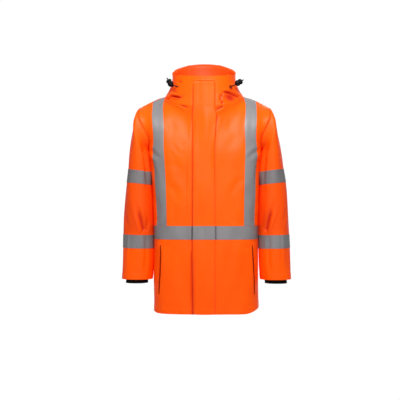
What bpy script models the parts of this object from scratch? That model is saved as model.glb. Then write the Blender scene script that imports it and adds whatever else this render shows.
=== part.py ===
"""Hooded hi-vis work jacket, fastened and filled out as worn, with no wearer.

Metres, +Z up, the front faces -Y, +X is the wearer's left side.
The origin is the middle of the neck at shoulder height.
Each cloth piece is a wall laid on a grid of rows and columns: rows follow
the height, columns follow the cut. Grids hold the outer surface of the cloth.
"""
import math

import bmesh
import bpy
import numpy as np
from mathutils import Vector

# ------------------------------------------------------------ driving sizes
WALL = 0.0015            # coated cloth with its inner ply
SEAM_GAP = 0.0004        # each panel stops this short of a seam
TAPE_LIFT = 0.0003       # tape inner face over the cloth
TAPE_THICK = 0.0006
TAPE_WIDTH = 0.050
FLAP_LIFT = 0.0018
FLAP_THICK = 0.0016
ZIP_GAP = 0.0030         # between the two front edges
FLAP_FREE = 0.0455       # free edge, to the wearer's right of the middle
FLAP_SEAM = 0.0350       # sewn edge, to the wearer's left of the middle
BACK_TAPE_SHIFT = -0.003 # the back's upright tapes are this much nearer the middle
HEM_Z = -0.809
WAIST_LO, WAIST_HI = -0.5350, -0.4855
CHEST_Z = -0.205
# the hem's corners: how far they rise at the side seam, and from what half width
HEM_CORNER = {-1: (0.006, 0.172), 1: (0.018, 0.140)}
NECK_W, NECK_F, NECK_B = 0.150, 0.107, 0.084
NECK_FZ, NECK_SZ, NECK_BZ = -0.045, 0.005, 0.014
TIP = np.array([0.2415, 0.004, -0.0345])      # shoulder point
PIT = np.array([0.2115, 0.000, CHEST_Z])      # underarm point
ARM_FRONT, ARM_BACK, ARM_BOW, ARM_SKEW = 0.080, 0.084, 0.002, 0.030
UPPER_ROWS = 8
# how the upper chest and back fill out between the chest row and the seams above,
# by column kind: sideways and outward, largest beside the upright tape
FILL = {-1: (0.016, 0.024), 1: (0.010, 0.014)}
FILL_SHARE = dict(mm=(0.0, 0.0), tape0=(0.42, 0.92), tape1=(0.95, 1.0), out=(0.55, 0.62))

# torso rings: height, half width, front and back depth, front and back power
TORSO = [
    dict(z=-0.809, w=0.1970, f=0.148, b=0.144, n=3.60, nb=2.80),
    dict(z=-0.650, w=0.1963, f=0.1455, b=0.142, n=3.70, nb=2.80),
    dict(z=-0.500, w=0.1967, f=0.141, b=0.139, n=3.90, nb=2.80),
    dict(z=-0.380, w=0.1995, f=0.136, b=0.134, n=4.10, nb=2.85),
    dict(z=-0.290, w=0.2035, f=0.130, b=0.130, n=4.30, nb=2.95),
    dict(z=-0.205, w=0.2115, f=0.124, b=0.126, n=4.40, nb=3.10),
]
# girth from the middle front to the upright tape; the back's is a little less
TAPE_LINE = [dict(z=-0.809, g=0.1430), dict(z=-0.500, g=0.1430), dict(z=-0.345, g=0.1452),
             dict(z=-0.272, g=0.1476), dict(z=-0.205, g=0.1505)]
# heights of the grid rows below the chest
LOWER_ROWS = [HEM_Z, -0.738, -0.665, -0.595, WAIST_LO, WAIST_HI,
              -0.415, -0.345, -0.272, CHEST_Z]
# middle front and middle back lines from chest to neck
FRONT_LINE = [dict(z=-0.205, y=-0.124), dict(z=-0.150, y=-0.122),
              dict(z=-0.090, y=-0.115), dict(z=-0.045, y=-0.107)]
BACK_LINE = [dict(z=-0.205, y=0.126), dict(z=-0.130, y=0.124),
             dict(z=-0.060, y=0.112), dict(z=-0.015, y=0.095), dict(z=0.014, y=0.084)]
# sleeve sections: inner and outer point, middle depth, half depth, outward bow
SLEEVE = [
    dict(xi=0.2175, zi=-0.2078, xo=0.2515, zo=-0.0440, y=0.002, r=0.0830, bow=0.014, skew=0.016),
    dict(xi=0.2168, zi=-0.2130, xo=0.2610, zo=-0.0660, y=0.001, r=0.0840, bow=0.017, skew=0.009),
    dict(xi=0.2145, zi=-0.2195, xo=0.2680, zo=-0.0950, y=0.000, r=0.0845, bow=0.015, skew=0.004),
    dict(xi=0.2132, zi=-0.2285, xo=0.2755, zo=-0.1300, y=0.000, r=0.0845, bow=0.010),
    dict(xi=0.2090, zi=-0.2400, xo=0.2835, zo=-0.1700, y=0.000, r=0.0840, bow=0.005),
    dict(xi=0.2074, zi=-0.2560, xo=0.2895, zo=-0.2120, y=-0.001, r=0.0830, bow=0.002),
    dict(xi=0.2054, zi=-0.2840, xo=0.2955, zo=-0.2730, y=-0.002, r=0.0820, bow=0.0),
    dict(xi=0.2030, zi=-0.3330, xo=0.3025, zo=-0.3225, y=-0.004, r=0.0800, bow=0.0),
    dict(xi=0.1989, zi=-0.4250, xo=0.3105, zo=-0.4250, y=-0.009, r=0.0760, bow=0.0),
    dict(xi=0.1984, zi=-0.5220, xo=0.3145, zo=-0.5195, y=-0.015, r=0.0700, bow=0.0),
    dict(xi=0.1983, zi=-0.5720, xo=0.3165, zo=-0.5695, y=-0.018, r=0.0670, bow=0.0),
    dict(xi=0.1988, zi=-0.6280, xo=0.3185, zo=-0.6280, y=-0.021, r=0.0640, bow=0.0),
    dict(xi=0.2042, zi=-0.6880, xo=0.3205, zo=-0.6875, y=-0.024, r=0.0610, bow=0.0),
]
SLEEVE_N = 2.2
SLEEVE_TAPES = dict(upper=(7, 8), lower=(10, 11))   # sleeve rows a tape runs between
# inner cuff: section, then inset from the sleeve surface or own half sizes
CUFF = [dict(z=-0.642, rx=0.0540, ry=0.0585), dict(z=-0.662, rx=0.0440, ry=0.0490),
        dict(z=-0.703, rx=0.0412, ry=0.0455)]
# hood top edge all round: half width, front and back depth and the heights
HOOD_W, HOOD_F, HOOD_B = 0.1185, 0.099, 0.100
HOOD_FZ, HOOD_SZ, HOOD_BZ = 0.071, 0.086, 0.136
HOOD_ROWS = 12
# what hangs behind: reach outward and height from the top edge at middle back
POUCH = [dict(s=0.00, e=0.000, h=0.000), dict(s=0.10, e=0.010, h=0.008),
         dict(s=0.20, e=0.024, h=0.007), dict(s=0.30, e=0.033, h=-0.012),
         dict(s=0.45, e=0.034, h=-0.090), dict(s=0.60, e=0.046, h=-0.190),
         dict(s=0.68, e=0.066, h=-0.222), dict(s=0.76, e=0.092, h=-0.212),
         dict(s=0.88, e=0.112, h=-0.130), dict(s=1.00, e=0.104, h=-0.036)]
# sideways lean of the whole garment by height
LEAN = [dict(z=-0.81, x=0.0), dict(z=-0.45, x=-0.001), dict(z=-0.19, x=-0.004),
        dict(z=0.0, x=-0.0085), dict(z=0.15, x=-0.0115)]

ORANGE = ((1.0, 0.13, 0.012), 0.42)
GREY = ((0.34, 0.34, 0.35), 0.38)
BLACK = ((0.012, 0.012, 0.013), 0.55)


# ------------------------------------------------------------ small helpers
def table(rows, key, at, along="z"):
    """Value of one column of a table, on a smooth curve through its rows."""
    xs = np.array([r[along] for r in rows], float)
    ys = np.array([r[key] for r in rows], float)
    m = np.gradient(ys, xs)
    at = min(max(at, xs[0]), xs[-1])
    i = int(min(max(np.searchsorted(xs, at) - 1, 0), len(xs) - 2))
    h = xs[i + 1] - xs[i]
    t = (at - xs[i]) / h
    return float((2*t**3 - 3*t*t + 1) * ys[i] + (t**3 - 2*t*t + t) * h * m[i]
                 + (3*t*t - 2*t**3) * ys[i + 1] + (t**3 - t*t) * h * m[i + 1])


def power(v, p):
    return math.copysign(abs(v) ** p, v)


def quarter(w, d, n, steps=240):
    """Points and girth of a quarter ring from its middle (x=0) to its side."""
    a = np.linspace(0, math.pi / 2, steps)
    x = w * np.sin(a) ** (2 / n)
    y = d * np.cos(a) ** (2 / n)
    x[0], y[0], x[-1], y[-1] = 0.0, d, w, 0.0
    s = np.concatenate([[0], np.cumsum(np.hypot(np.diff(x), np.diff(y)))])
    return x, y, s


def unit(v):
    return v / max(float(np.linalg.norm(v)), 1e-12)


def column_girth(cols, k, total_in, total, tape_in):
    """Girth of column k: fixed near the middle, tape kept 50 mm wide, rest shared."""
    kind, val = cols[k]
    if kind == "mm":
        return val
    if kind == "in":       # between the last fixed column and the tape
        last = max([v for t, v in cols if t == "mm"] + [0.0])
        return last + (total_in - last) * val
    if kind == "tape":
        return total_in + tape_in * val
    out = total_in + tape_in
    return out + (total - out) * val


RIGHT_COLS = [("mm", ZIP_GAP / 2), ("mm", 0.025), ("mm", FLAP_FREE), ("in", 0.333),
              ("in", 0.667), ("in", 1.0), ("tape", 0.5), ("tape", 1.0),
              ("out", 0.5), ("out", 1.0)]
LEFT_COLS = [("mm", ZIP_GAP / 2), ("mm", FLAP_SEAM), ("in", 0.25), ("in", 0.5),
             ("in", 0.75), ("in", 1.0), ("tape", 0.5), ("tape", 1.0),
             ("out", 0.5), ("out", 1.0)]
BACK_COLS = [("in", 0.0), ("in", 0.16), ("in", 0.32), ("in", 0.52), ("in", 0.70),
             ("in", 0.86), ("in", 1.0), ("tape", 0.5), ("tape", 1.0), ("out", 0.5),
             ("out", 1.0)]


def neck_col(cols):
    """The column that ends where the neck seam meets the shoulder seam."""
    return cols.index(("in", 1.0))


def torso_point(girth_of, face, z):
    """Point of the torso ring at height z; girth_of maps the quarter girth to a girth."""
    depth = table(TORSO, "f" if face < 0 else "b", z)
    x, y, s = quarter(table(TORSO, "w", z), depth, table(TORSO, "n" if face < 0 else "nb", z))
    g = girth_of(s[-1])
    return np.array([np.interp(g, s, x), face * np.interp(g, s, y), z])


def hem_corner(side, x):
    rise, start = HEM_CORNER[side]
    return rise * max(0.0, (x - start) / (TORSO[0]["w"] - start)) ** 2


def neck_ring(face, t):
    """Neck seam, t from 0 at the middle to 1 at the shoulder, by girth."""
    x, y, s = quarter(NECK_W, NECK_F if face < 0 else NECK_B, 2.2)
    px, py = np.interp(t * s[-1], s, x), np.interp(t * s[-1], s, y)
    c = py / (NECK_F if face < 0 else NECK_B)
    z = NECK_SZ + ((NECK_FZ if face < 0 else NECK_BZ) - NECK_SZ) * c ** 1.4
    return np.array([px, face * py + 0.004 * px / NECK_W, z])


def neck_length(face):
    return quarter(NECK_W, NECK_F if face < 0 else NECK_B, 2.2)[2][-1]


NECK_SIDE = neck_ring(-1, 1.0)


def shoulder(t):
    p = NECK_SIDE + (TIP - NECK_SIDE) * t
    p[2] += 0.004 * math.sin(math.pi * t)
    return p


def armhole(face, t):
    """t from 0 at the underarm to 1 at the shoulder point."""
    a = math.pi * (1 - t)
    mid, half = (TIP + PIT) / 2, (TIP - PIT) / 2
    r = ARM_FRONT if face < 0 else ARM_BACK
    p = mid + half * power(math.cos(a), 2 / 2.15)
    p[1] += face * r * abs(math.sin(a)) ** (2 / 2.15)
    p[0] += (ARM_BOW + ARM_SKEW * math.cos(a) * abs(math.sin(a))) * math.sin(a) ** 2
    return p


# ------------------------------------------------------------ body panels
def smooth_patch(P, fixed_rows, u, v):
    """The cloth between its seams takes the smoothest surface: least bending."""
    R, C = P.shape[:2]
    free = [(r, c) for r in range(fixed_rows, R - 1) for c in range(1, C - 1)]
    index = {rc: i for i, rc in enumerate(free)}
    rows, rhs = [], []

    def stencil(items, weight):
        line, b = np.zeros(len(free)), np.zeros(3)
        for rc, w in items:
            if rc in index:
                line[index[rc]] += w * weight
            else:
                b -= w * weight * P[rc]
        if np.any(line):
            rows.append(line)
            rhs.append(b)

    for r in range(1, R - 1):
        for c in range(0, C):
            h1, h2 = v[r][c] - v[r - 1][c], v[r + 1][c] - v[r][c]
            k = 2 / (h1 + h2)
            stencil([((r - 1, c), k / h1), ((r + 1, c), k / h2), ((r, c), -k / h1 - k / h2)], 1.0)
    for r in range(fixed_rows, R - 1):
        for c in range(1, C - 1):
            h1, h2 = u[c] - u[c - 1], u[c + 1] - u[c]
            k = 2 / (h1 + h2)
            stencil([((r, c - 1), k / h1), ((r, c + 1), k / h2), ((r, c), -k / h1 - k / h2)], 1.0)
    X = np.linalg.lstsq(np.array(rows), np.array(rhs), rcond=None)[0]
    for rc, i in index.items():
        P[rc] = X[i]


def fill_out(P, cols, face, low):
    """Sideways and outward fullness added to the rows above the chest."""
    for c, (kind, val) in enumerate(cols):
        if kind in ("mm", "in"):
            a, b = FILL_SHARE["mm"], FILL_SHARE["tape0"]
            t = val ** 2 if kind == "in" else 0.0
        elif kind == "tape":
            a, b, t = FILL_SHARE["tape0"], FILL_SHARE["tape1"], val
        else:
            a, b = FILL_SHARE["tape1"], (0.0, 0.0)
            t = 2 * val if val <= 0.5 else 1.0
            a, b = (FILL_SHARE["tape1"], FILL_SHARE["out"]) if val <= 0.5 else ((0.0, 0.0), (0.0, 0.0))
        for k in range(1, UPPER_ROWS):
            w = math.sin(math.pi * (k / UPPER_ROWS) ** 1.35) ** 0.9
            P[low - 1 + k, c, 0] += FILL[face][0] * (a[0] + (b[0] - a[0]) * t) * w
            P[low - 1 + k, c, 1] += face * FILL[face][1] * (a[1] + (b[1] - a[1]) * t) * w


def half_panel(cols, face, side):
    """Rows from hem to the neck and shoulder seams, columns from middle to side."""
    C, low, R = len(cols), len(LOWER_ROWS), len(LOWER_ROWS) + UPPER_ROWS
    P = np.zeros((R, C, 3))
    for r, z in enumerate(LOWER_ROWS):
        tape_in = table(TAPE_LINE, "g", z) + (BACK_TAPE_SHIFT if face > 0 else 0.0)
        for c in range(C):
            P[r, c] = torso_point(lambda L: column_girth(cols, c, tape_in, L, TAPE_WIDTH), face, z)
            if r == 0:
                P[r, c][2] += hem_corner(side, P[r, c][0])
    full = neck_length(face)
    slope = float(np.linalg.norm(TIP - NECK_SIDE))
    for c in range(C):
        kind, val = cols[c]
        if c <= neck_col(cols):
            P[-1, c] = neck_ring(face, column_girth(cols, c, full, full + 0.1, TAPE_WIDTH) / full)
        else:
            g = TAPE_WIDTH * val if kind == "tape" else TAPE_WIDTH + (slope - TAPE_WIDTH) * val
            P[-1, c] = shoulder(g / slope)
    line = FRONT_LINE if face < 0 else BACK_LINE
    for k in range(1, UPPER_ROWS):
        t = k / UPPER_ROWS
        z = CHEST_Z + (line[-1]["z"] - CHEST_Z) * t
        P[low - 1 + k, 0] = [P[low - 1, 0, 0] * (1 - t) + P[-1, 0, 0] * t, table(line, "y", z), z]
        P[low - 1 + k, C - 1] = armhole(face, t)
    u = np.concatenate([[0], np.cumsum(np.linalg.norm(np.diff(P[low - 1], axis=0), axis=1))])
    v = np.zeros((R, C))
    for c in range(C):
        span = float(np.linalg.norm(P[-1, c] - P[low - 1, c])) * 1.12
        for r in range(R):
            v[r, c] = LOWER_ROWS[r] if r < low else CHEST_Z + span * (r - low + 1) / UPPER_ROWS
    smooth_patch(P, low, u, v)
    fill_out(P, cols, face, low)
    P[:, :, 0] *= side
    return P


# ------------------------------------------------------------ sleeves
def sleeve_grid(side):
    """Rows from the armhole to the hem, columns round from the shoulder point, front first."""
    n = 2 * UPPER_ROWS
    P = np.zeros((len(SLEEVE) + 1, n, 3))
    for j in range(n):
        t = 1 - j / UPPER_ROWS if j <= UPPER_ROWS else (j - UPPER_ROWS) / UPPER_ROWS
        P[0, j] = armhole(-1 if j <= UPPER_ROWS else 1, t)
    for i, s in enumerate(SLEEVE):
        inner, outer = np.array([s["xi"], s["y"], s["zi"]]), np.array([s["xo"], s["y"], s["zo"]])
        mid, half = (inner + outer) / 2, (outer - inner) / 2
        for j in range(n):
            a = 2 * math.pi * j / n
            p = mid + half * power(math.cos(a), 2 / SLEEVE_N)
            p[1] -= s["r"] * power(math.sin(a), 2 / SLEEVE_N)
            p[0] += (s["bow"] + s.get("skew", 0.0) * math.cos(a) * abs(math.sin(a))) * math.sin(a) ** 2
            P[i + 1, j] = p
    P[:, :, 0] *= side
    return P


# ------------------------------------------------------------ hood
def hood_top(face, t):
    x, y, s = quarter(HOOD_W, HOOD_F if face < 0 else HOOD_B, 2.15)
    px, py = np.interp(t * s[-1], s, x), np.interp(t * s[-1], s, y)
    c = py / (HOOD_F if face < 0 else HOOD_B)
    z = HOOD_SZ + ((HOOD_FZ if face < 0 else HOOD_BZ) - HOOD_SZ) * c ** (1.5 if face < 0 else 1.0)
    return np.array([px, face * py, z])


def hood_column(base, top, fullness):
    """From the neck seam up to the edge; behind, over the roll into the hanging pouch."""
    path = []
    for h in np.linspace(0, 1, 25):
        f = (1 - h) ** 2
        path.append(np.array([top[0] + (base[0] - top[0]) * f, top[1] + (base[1] - top[1]) * f,
                              base[2] + (top[2] - base[2]) * h]))
    if fullness > 0:
        out = unit(np.array([top[0] * 0.45, max(top[1], 0.03), 0.0]))
        e_scale, h_scale = 0.05 + 0.95 * fullness ** 0.7, 0.04 + 0.96 * fullness
        for s in np.linspace(0, 1, 61)[1:]:
            e = table(POUCH, "e", s, "s") * e_scale
            h = table(POUCH, "h", s, "s") * h_scale
            narrow = 1 - 0.30 * max(0.0, (s - 0.3) / 0.7) ** 1.2
            p = top + out * e + np.array([0, 0, h])
            p[0] *= narrow
            path.append(p)
    path = np.array(path)
    d = np.concatenate([[0], np.cumsum(np.linalg.norm(np.diff(path, axis=0), axis=1))])
    at = np.linspace(0, d[-1], HOOD_ROWS + 1)
    return np.array([[np.interp(a, d, path[:, k]) for k in range(3)] for a in at])


def hood_half(cols, side, face):
    """Columns from the middle out to the side of the neck; t is the share of the girth."""
    full_neck = neck_length(face)
    full_top = quarter(HOOD_W, HOOD_F if face < 0 else HOOD_B, 2.15)[2][-1]
    grid = []
    for c in range(neck_col(cols) + 1):
        tn = column_girth(cols, c, full_neck, full_neck + 0.1, TAPE_WIDTH) / full_neck
        tt = column_girth(cols, c, full_top, full_top + 0.1, TAPE_WIDTH) / full_top
        base, top = neck_ring(face, tn), hood_top(face, tt)
        fullness = 0.0 if face < 0 else (0.5 + 0.5 * math.cos(math.pi * min(tt / 0.95, 1.0))) ** 0.7
        col = hood_column(base, top, fullness)
        col[:, 0] *= side
        grid.append(col)
    return np.array(grid).transpose(1, 0, 2)


# ------------------------------------------------------------ walls
def face_normals(P, closed):
    R, C = P.shape[:2]
    N = np.zeros_like(P)
    for r in range(R - 1):
        for c in range(C if closed else C - 1):
            d = (c + 1) % C
            n = np.cross(P[r, d] - P[r, c], P[r + 1, c] - P[r, c]) + \
                np.cross(P[r + 1, c] - P[r + 1, d], P[r, d] - P[r + 1, d])
            n = unit(n)
            for rc in ((r, c), (r, d), (r + 1, c), (r + 1, d)):
                N[rc] += n
    return N / np.maximum(np.linalg.norm(N, axis=2, keepdims=True), 1e-12)


class Panel:
    def __init__(self, name, P, flip=False, closed=False):
        self.name, self.P, self.closed = name, P, closed
        self.N = face_normals(P, closed) * (-1 if flip else 1)
        self.flip = flip


def key(p):
    return tuple(np.round(p * 20000).astype(int))


def mitre(panels):
    """Where panels share a seam, both walls use the same slanted edge."""
    seen = {}
    for g in panels:
        for rc in np.ndindex(g.P.shape[:2]):
            seen.setdefault(key(g.P[rc]), []).append((g, rc))
    own = {g.name: g.N.copy() for g in panels}
    for members in seen.values():
        names = {g.name for g, _ in members}
        if len(names) < 2:
            continue
        groups = []                      # panels that run on smoothly count once
        for g, rc in members:
            n = own[g.name][rc]
            for grp in groups:
                if np.dot(unit(grp[0]), n) > 0.7:
                    grp[0] = grp[0] + n
                    break
            else:
                groups.append([n.copy()])
        m = unit(sum(unit(grp[0]) for grp in groups))
        k = np.mean([float(np.dot(m, unit(grp[0]))) for grp in groups])
        for g, rc in members:
            g.N[rc] = m / max(k, 0.5)
    return seen


def across(inward, along):
    """Unit direction away from a seam, square to it."""
    t = unit(along)
    return unit(inward - t * np.dot(inward, t))


def pulled(g, seen):
    """The panel's own grid with its seam edges drawn back by the gap."""
    Q = g.P.copy()
    R, C = Q.shape[:2]
    for r in range(R):
        for c in range(C):
            names = {h.name for h, _ in seen[key(g.P[r, c])]}
            if len(names) < 2:
                continue
            move = np.zeros(3)
            if r in (0, R - 1):
                lo, hi = ((c - 1) % C, (c + 1) % C) if g.closed else (max(c - 1, 0), min(c + 1, C - 1))
                move += across(g.P[1 if r == 0 else R - 2, c] - g.P[r, c], g.P[r, hi] - g.P[r, lo])
            if not g.closed and c in (0, C - 1):
                move += across(g.P[r, 1 if c == 0 else C - 2] - g.P[r, c],
                               g.P[min(r + 1, R - 1), c] - g.P[max(r - 1, 0), c])
            Q[r, c] += move * SEAM_GAP
    return Q


def lean(P):
    """The sides and back lean as the table says; the strip under the flap stays upright."""
    ease = lambda t: min(max(t, 0.0), 1.0) ** 2 * (3 - 2 * min(max(t, 0.0), 1.0))
    Q = P.copy()
    for idx in np.ndindex(P.shape[:-1]):
        still = (1 - ease((abs(P[idx][0]) - 0.045) / 0.070)) * ease(-P[idx][1] / 0.050)
        Q[idx][0] += table(LEAN, "x", P[idx][2]) * (1 - still)
    return Q


def material(name, look):
    mat = bpy.data.materials.new(name)
    mat.use_nodes = True
    node = mat.node_tree.nodes["Principled BSDF"]
    node.inputs["Base Color"].default_value = (*look[0], 1)
    node.inputs["Roughness"].default_value = look[1]
    node.inputs["Metallic"].default_value = 0.0
    return mat


def add_object(name, verts, faces, look):
    mesh = bpy.data.meshes.new(name)
    mesh.from_pydata([tuple(v) for v in verts], [], faces)
    bm = bmesh.new()
    bm.from_mesh(mesh)
    bmesh.ops.triangulate(bm, faces=[f for f in bm.faces if len(f.verts) > 4])
    bm.to_mesh(mesh)
    bm.free()
    mesh.materials.append(material(name + "_mat", look))
    mesh.shade_smooth()
    mesh.set_sharp_from_angle(angle=math.radians(40))
    obj = bpy.data.objects.new(name, mesh)
    bpy.context.scene.collection.objects.link(obj)
    return obj


def falls(p, q, r, s):
    """Which way a cell is folded: along p-r if true, else along q-s."""
    d1, d2 = float(np.linalg.norm(p - r)), float(np.linalg.norm(q - s))
    if abs(d1 - d2) > 1e-7:
        return d1 < d2
    low = min((p, q, r, s), key=lambda v: (round(float(v[2]), 6), round(abs(float(v[0])), 6)))
    return low is p or low is r


def wall(name, P, N, low, high, look, flip=False, closed=False, leaning=True, ref=None):
    """A closed wall between the grid moved by low and by high along N."""
    R, C = P.shape[:2]
    ref = P if ref is None else ref
    A, B = P + N * low, P + N * high
    if leaning:
        A, B = lean(A), lean(B)
    verts = list(A.reshape(-1, 3)) + list(B.reshape(-1, 3))
    a = lambda r, c: r * C + c % C
    b = lambda r, c: R * C + r * C + c % C
    faces = []
    for r in range(R - 1):
        for c in range(C if closed else C - 1):
            q = [(r, c), (r, c + 1), (r + 1, c + 1), (r + 1, c)]
            cell = [ref[i, j % C] for i, j in q]
            for tri in (((0, 1, 2), (0, 2, 3)) if falls(*cell) else ((0, 1, 3), (1, 2, 3))):
                faces.append([b(*q[i]) for i in tri])
                faces.append([a(*q[i]) for i in reversed(tri)])
    for c in range(C if closed else C - 1):
        faces.append([a(0, c), a(0, c + 1), b(0, c + 1), b(0, c)])
        faces.append([b(R - 1, c), b(R - 1, c + 1), a(R - 1, c + 1), a(R - 1, c)])
    if not closed:
        for r in range(R - 1):
            faces.append([b(r, 0), b(r + 1, 0), a(r + 1, 0), a(r, 0)])
            faces.append([a(r, C - 1), a(r + 1, C - 1), b(r + 1, C - 1), b(r, C - 1)])
    split = []
    for f in faces:
        if len(f) == 4:
            split += [[f[0], f[1], f[2]], [f[0], f[2], f[3]]]
        else:
            split.append(f)
    if flip:
        split = [list(reversed(f)) for f in split]
    return add_object(name, verts, split, look)


for stale in list(bpy.data.objects):
    bpy.data.objects.remove(stale, do_unlink=True)

# ------------------------------------------------------------ build the grids
fr = half_panel(RIGHT_COLS, -1, -1)      # wearer's right front
fl = half_panel(LEFT_COLS, -1, 1)        # wearer's left front
bk_r = half_panel(BACK_COLS, 1, -1)
bk_l = half_panel(BACK_COLS, 1, 1)
bk = np.concatenate([bk_r[:, ::-1], bk_l[:, 1:]], axis=1)

hf_r = hood_half(RIGHT_COLS, -1, -1)
hf_l = hood_half(LEFT_COLS, 1, -1)
hb_r = hood_half(BACK_COLS, -1, 1)
hb_l = hood_half(BACK_COLS, 1, 1)
SPLIT = 2                                          # back column of the hood seams
BN = neck_col(BACK_COLS)
side_r = np.concatenate([hf_r, hb_r[:, SPLIT:BN][:, ::-1]], axis=1)
side_l = np.concatenate([hf_l, hb_l[:, SPLIT:BN][:, ::-1]], axis=1)
centre = np.concatenate([hb_r[:, :SPLIT + 1][:, ::-1], hb_l[:, 1:SPLIT + 1]], axis=1)

panels = [
    Panel("front_right", fr, flip=True),
    Panel("front_left", fl),
    Panel("back", bk, flip=True),
    Panel("sleeve_right", sleeve_grid(-1), flip=True, closed=True),
    Panel("sleeve_left", sleeve_grid(1), closed=True),
    Panel("hood_side_right", side_r, flip=True),
    Panel("hood_side_left", side_l),
    Panel("hood_centre", centre, flip=True),
]
seen = mitre(panels)
by_name = {g.name: g for g in panels}
for g in panels:
    wall(g.name, pulled(g, seen), g.N, -WALL, 0.0, ORANGE, flip=g.flip, closed=g.closed, ref=g.P)

# ------------------------------------------------------------ reflective tapes
def tape(name, P, N, flip, closed=False, lift=TAPE_LIFT, thick=TAPE_THICK, look=GREY, ends=0.0):
    Q = P.copy()
    if ends:
        for k, nxt in ((0, 1), (-1, -2)):
            Q[k] += np.array([unit(d) for d in (P[nxt] - P[k])]) * ends
    return wall(name, Q, N, lift, lift + thick, look, flip=flip, closed=closed, ref=P)


FR, FL, BK = by_name["front_right"], by_name["front_left"], by_name["back"]
W0 = LOWER_ROWS.index(WAIST_LO)
W1 = W0 + 1
# round the body: under the flap at the middle front, round the back, to the flap seam
LAST, BLAST = len(RIGHT_COLS) - 1, len(BACK_COLS) - 1
order = [(FR, range(0, LAST + 1)), (BK, range(1, 2 * BLAST + 1)), (FL, range(LAST - 1, 0, -1))]
strip_p = [np.concatenate([g.P[row, list(idx)] for g, idx in order]) for row in (W0, W1)]
strip_n = [np.concatenate([g.N[row, list(idx)] for g, idx in order]) for row in (W0, W1)]
tape("waist_tape", np.array(strip_p), np.array(strip_n), True)

FN = neck_col(RIGHT_COLS)
for name, F, cols_b, flip in (("brace_tape_right", FR, [BLAST - BN - k for k in range(3)], True),
                              ("brace_tape_left", FL, [BLAST + BN + k for k in range(3)], False)):
    P = np.concatenate([F.P[W1:, FN:FN + 3], BK.P[W1:-1, cols_b][::-1]])
    N = np.concatenate([F.N[W1:, FN:FN + 3], BK.N[W1:-1, cols_b][::-1]])
    tape(name, P, N, flip, ends=0.0006)

for side, flip in (("right", True), ("left", False)):
    S = by_name["sleeve_" + side]
    for part, (r0, r1) in SLEEVE_TAPES.items():
        tape(f"sleeve_tape_{part}_{side}", S.P[[r0, r1]], S.N[[r0, r1]], flip, closed=True)

# ------------------------------------------------------------ storm flap and zip
HR, HL = by_name["hood_side_right"], by_name["hood_side_left"]
FLAP_TOP = 10            # hood row where the flap ends
def strip(rows_body, rows_hood, right_cols, left_cols):
    P, N = [], []
    for r in rows_body:
        P.append(np.concatenate([FR.P[r, right_cols], FL.P[r, left_cols]]))
        N.append(np.concatenate([FR.N[r, right_cols], FL.N[r, left_cols]]))
    for r in rows_hood:
        P.append(np.concatenate([HR.P[r, right_cols], HL.P[r, left_cols]]))
        N.append(np.concatenate([HR.N[r, right_cols], HL.N[r, left_cols]]))
    return np.array(P), np.array(N)


rows_all = list(range(0, len(LOWER_ROWS) + UPPER_ROWS))
P, N = strip(rows_all, range(1, FLAP_TOP + 1), [2, 1, 0], [0, 1])
wall("storm_flap", P, N, FLAP_LIFT, FLAP_LIFT + FLAP_THICK, ORANGE)
tape("flap_tape", P[[W0, W1]], N[[W0, W1]], False,
     lift=FLAP_LIFT + FLAP_THICK + TAPE_LIFT)

# zip: two plain tapes and the closed chain, one strip behind the meeting edges
P, N = strip(rows_all, range(1, HOOD_ROWS), [1, 0], [0, 1])
reach = (0.014 - ZIP_GAP / 2)
edge_r = P[:, 1] + (P[:, 0] - P[:, 1]) * reach / (0.025 - ZIP_GAP / 2)
edge_l = P[:, 2] + (P[:, 3] - P[:, 2]) * reach / (FLAP_SEAM - ZIP_GAP / 2)
wide = np.stack([edge_r, edge_l], axis=1)
norm = np.stack([N[:, 1], N[:, 2]], axis=1)
wall("front_zip", wide, norm, -WALL - 0.0026, -WALL - 0.0012, BLACK)

# ------------------------------------------------------------ inner cuffs
def cuff(name, side):
    n = 2 * UPPER_ROWS
    last, prev = SLEEVE[-1], SLEEVE[-2]
    P = np.zeros((len(CUFF), n, 3))
    for i, s in enumerate(CUFF):
        t = (s["z"] - prev["zo"]) / (last["zo"] - prev["zo"])
        cx = ((prev["xi"] + prev["xo"]) * (1 - t) + (last["xi"] + last["xo"]) * t) / 2
        cy = prev["y"] * (1 - t) + last["y"] * t
        for j in range(n):
            a = 2 * math.pi * j / n
            P[i, j] = [side * (cx + s["rx"] * power(math.cos(a), 2 / SLEEVE_N)),
                       cy - s["ry"] * power(math.sin(a), 2 / SLEEVE_N), s["z"]]
    flip = side < 0
    N = face_normals(P, True) * (-1 if flip else 1)
    wall(name, P, N, -WALL, 0.0, BLACK, flip=flip, closed=True)


cuff("cuff_right", -1)
cuff("cuff_left", 1)


# ------------------------------------------------------------ pockets
def on_front(side, girth, z):
    """Outer surface of the front at a girth from the middle, and its normal."""
    p = torso_point(lambda L: girth, -1, z)
    q = torso_point(lambda L: girth + 0.004, -1, z)
    n = unit(np.cross(q - p, np.array([0, 0, 1.0])))
    n = n if n[1] < 0 else -n
    return p * [side, 1, 1], n * [side, 1, 1]


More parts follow.
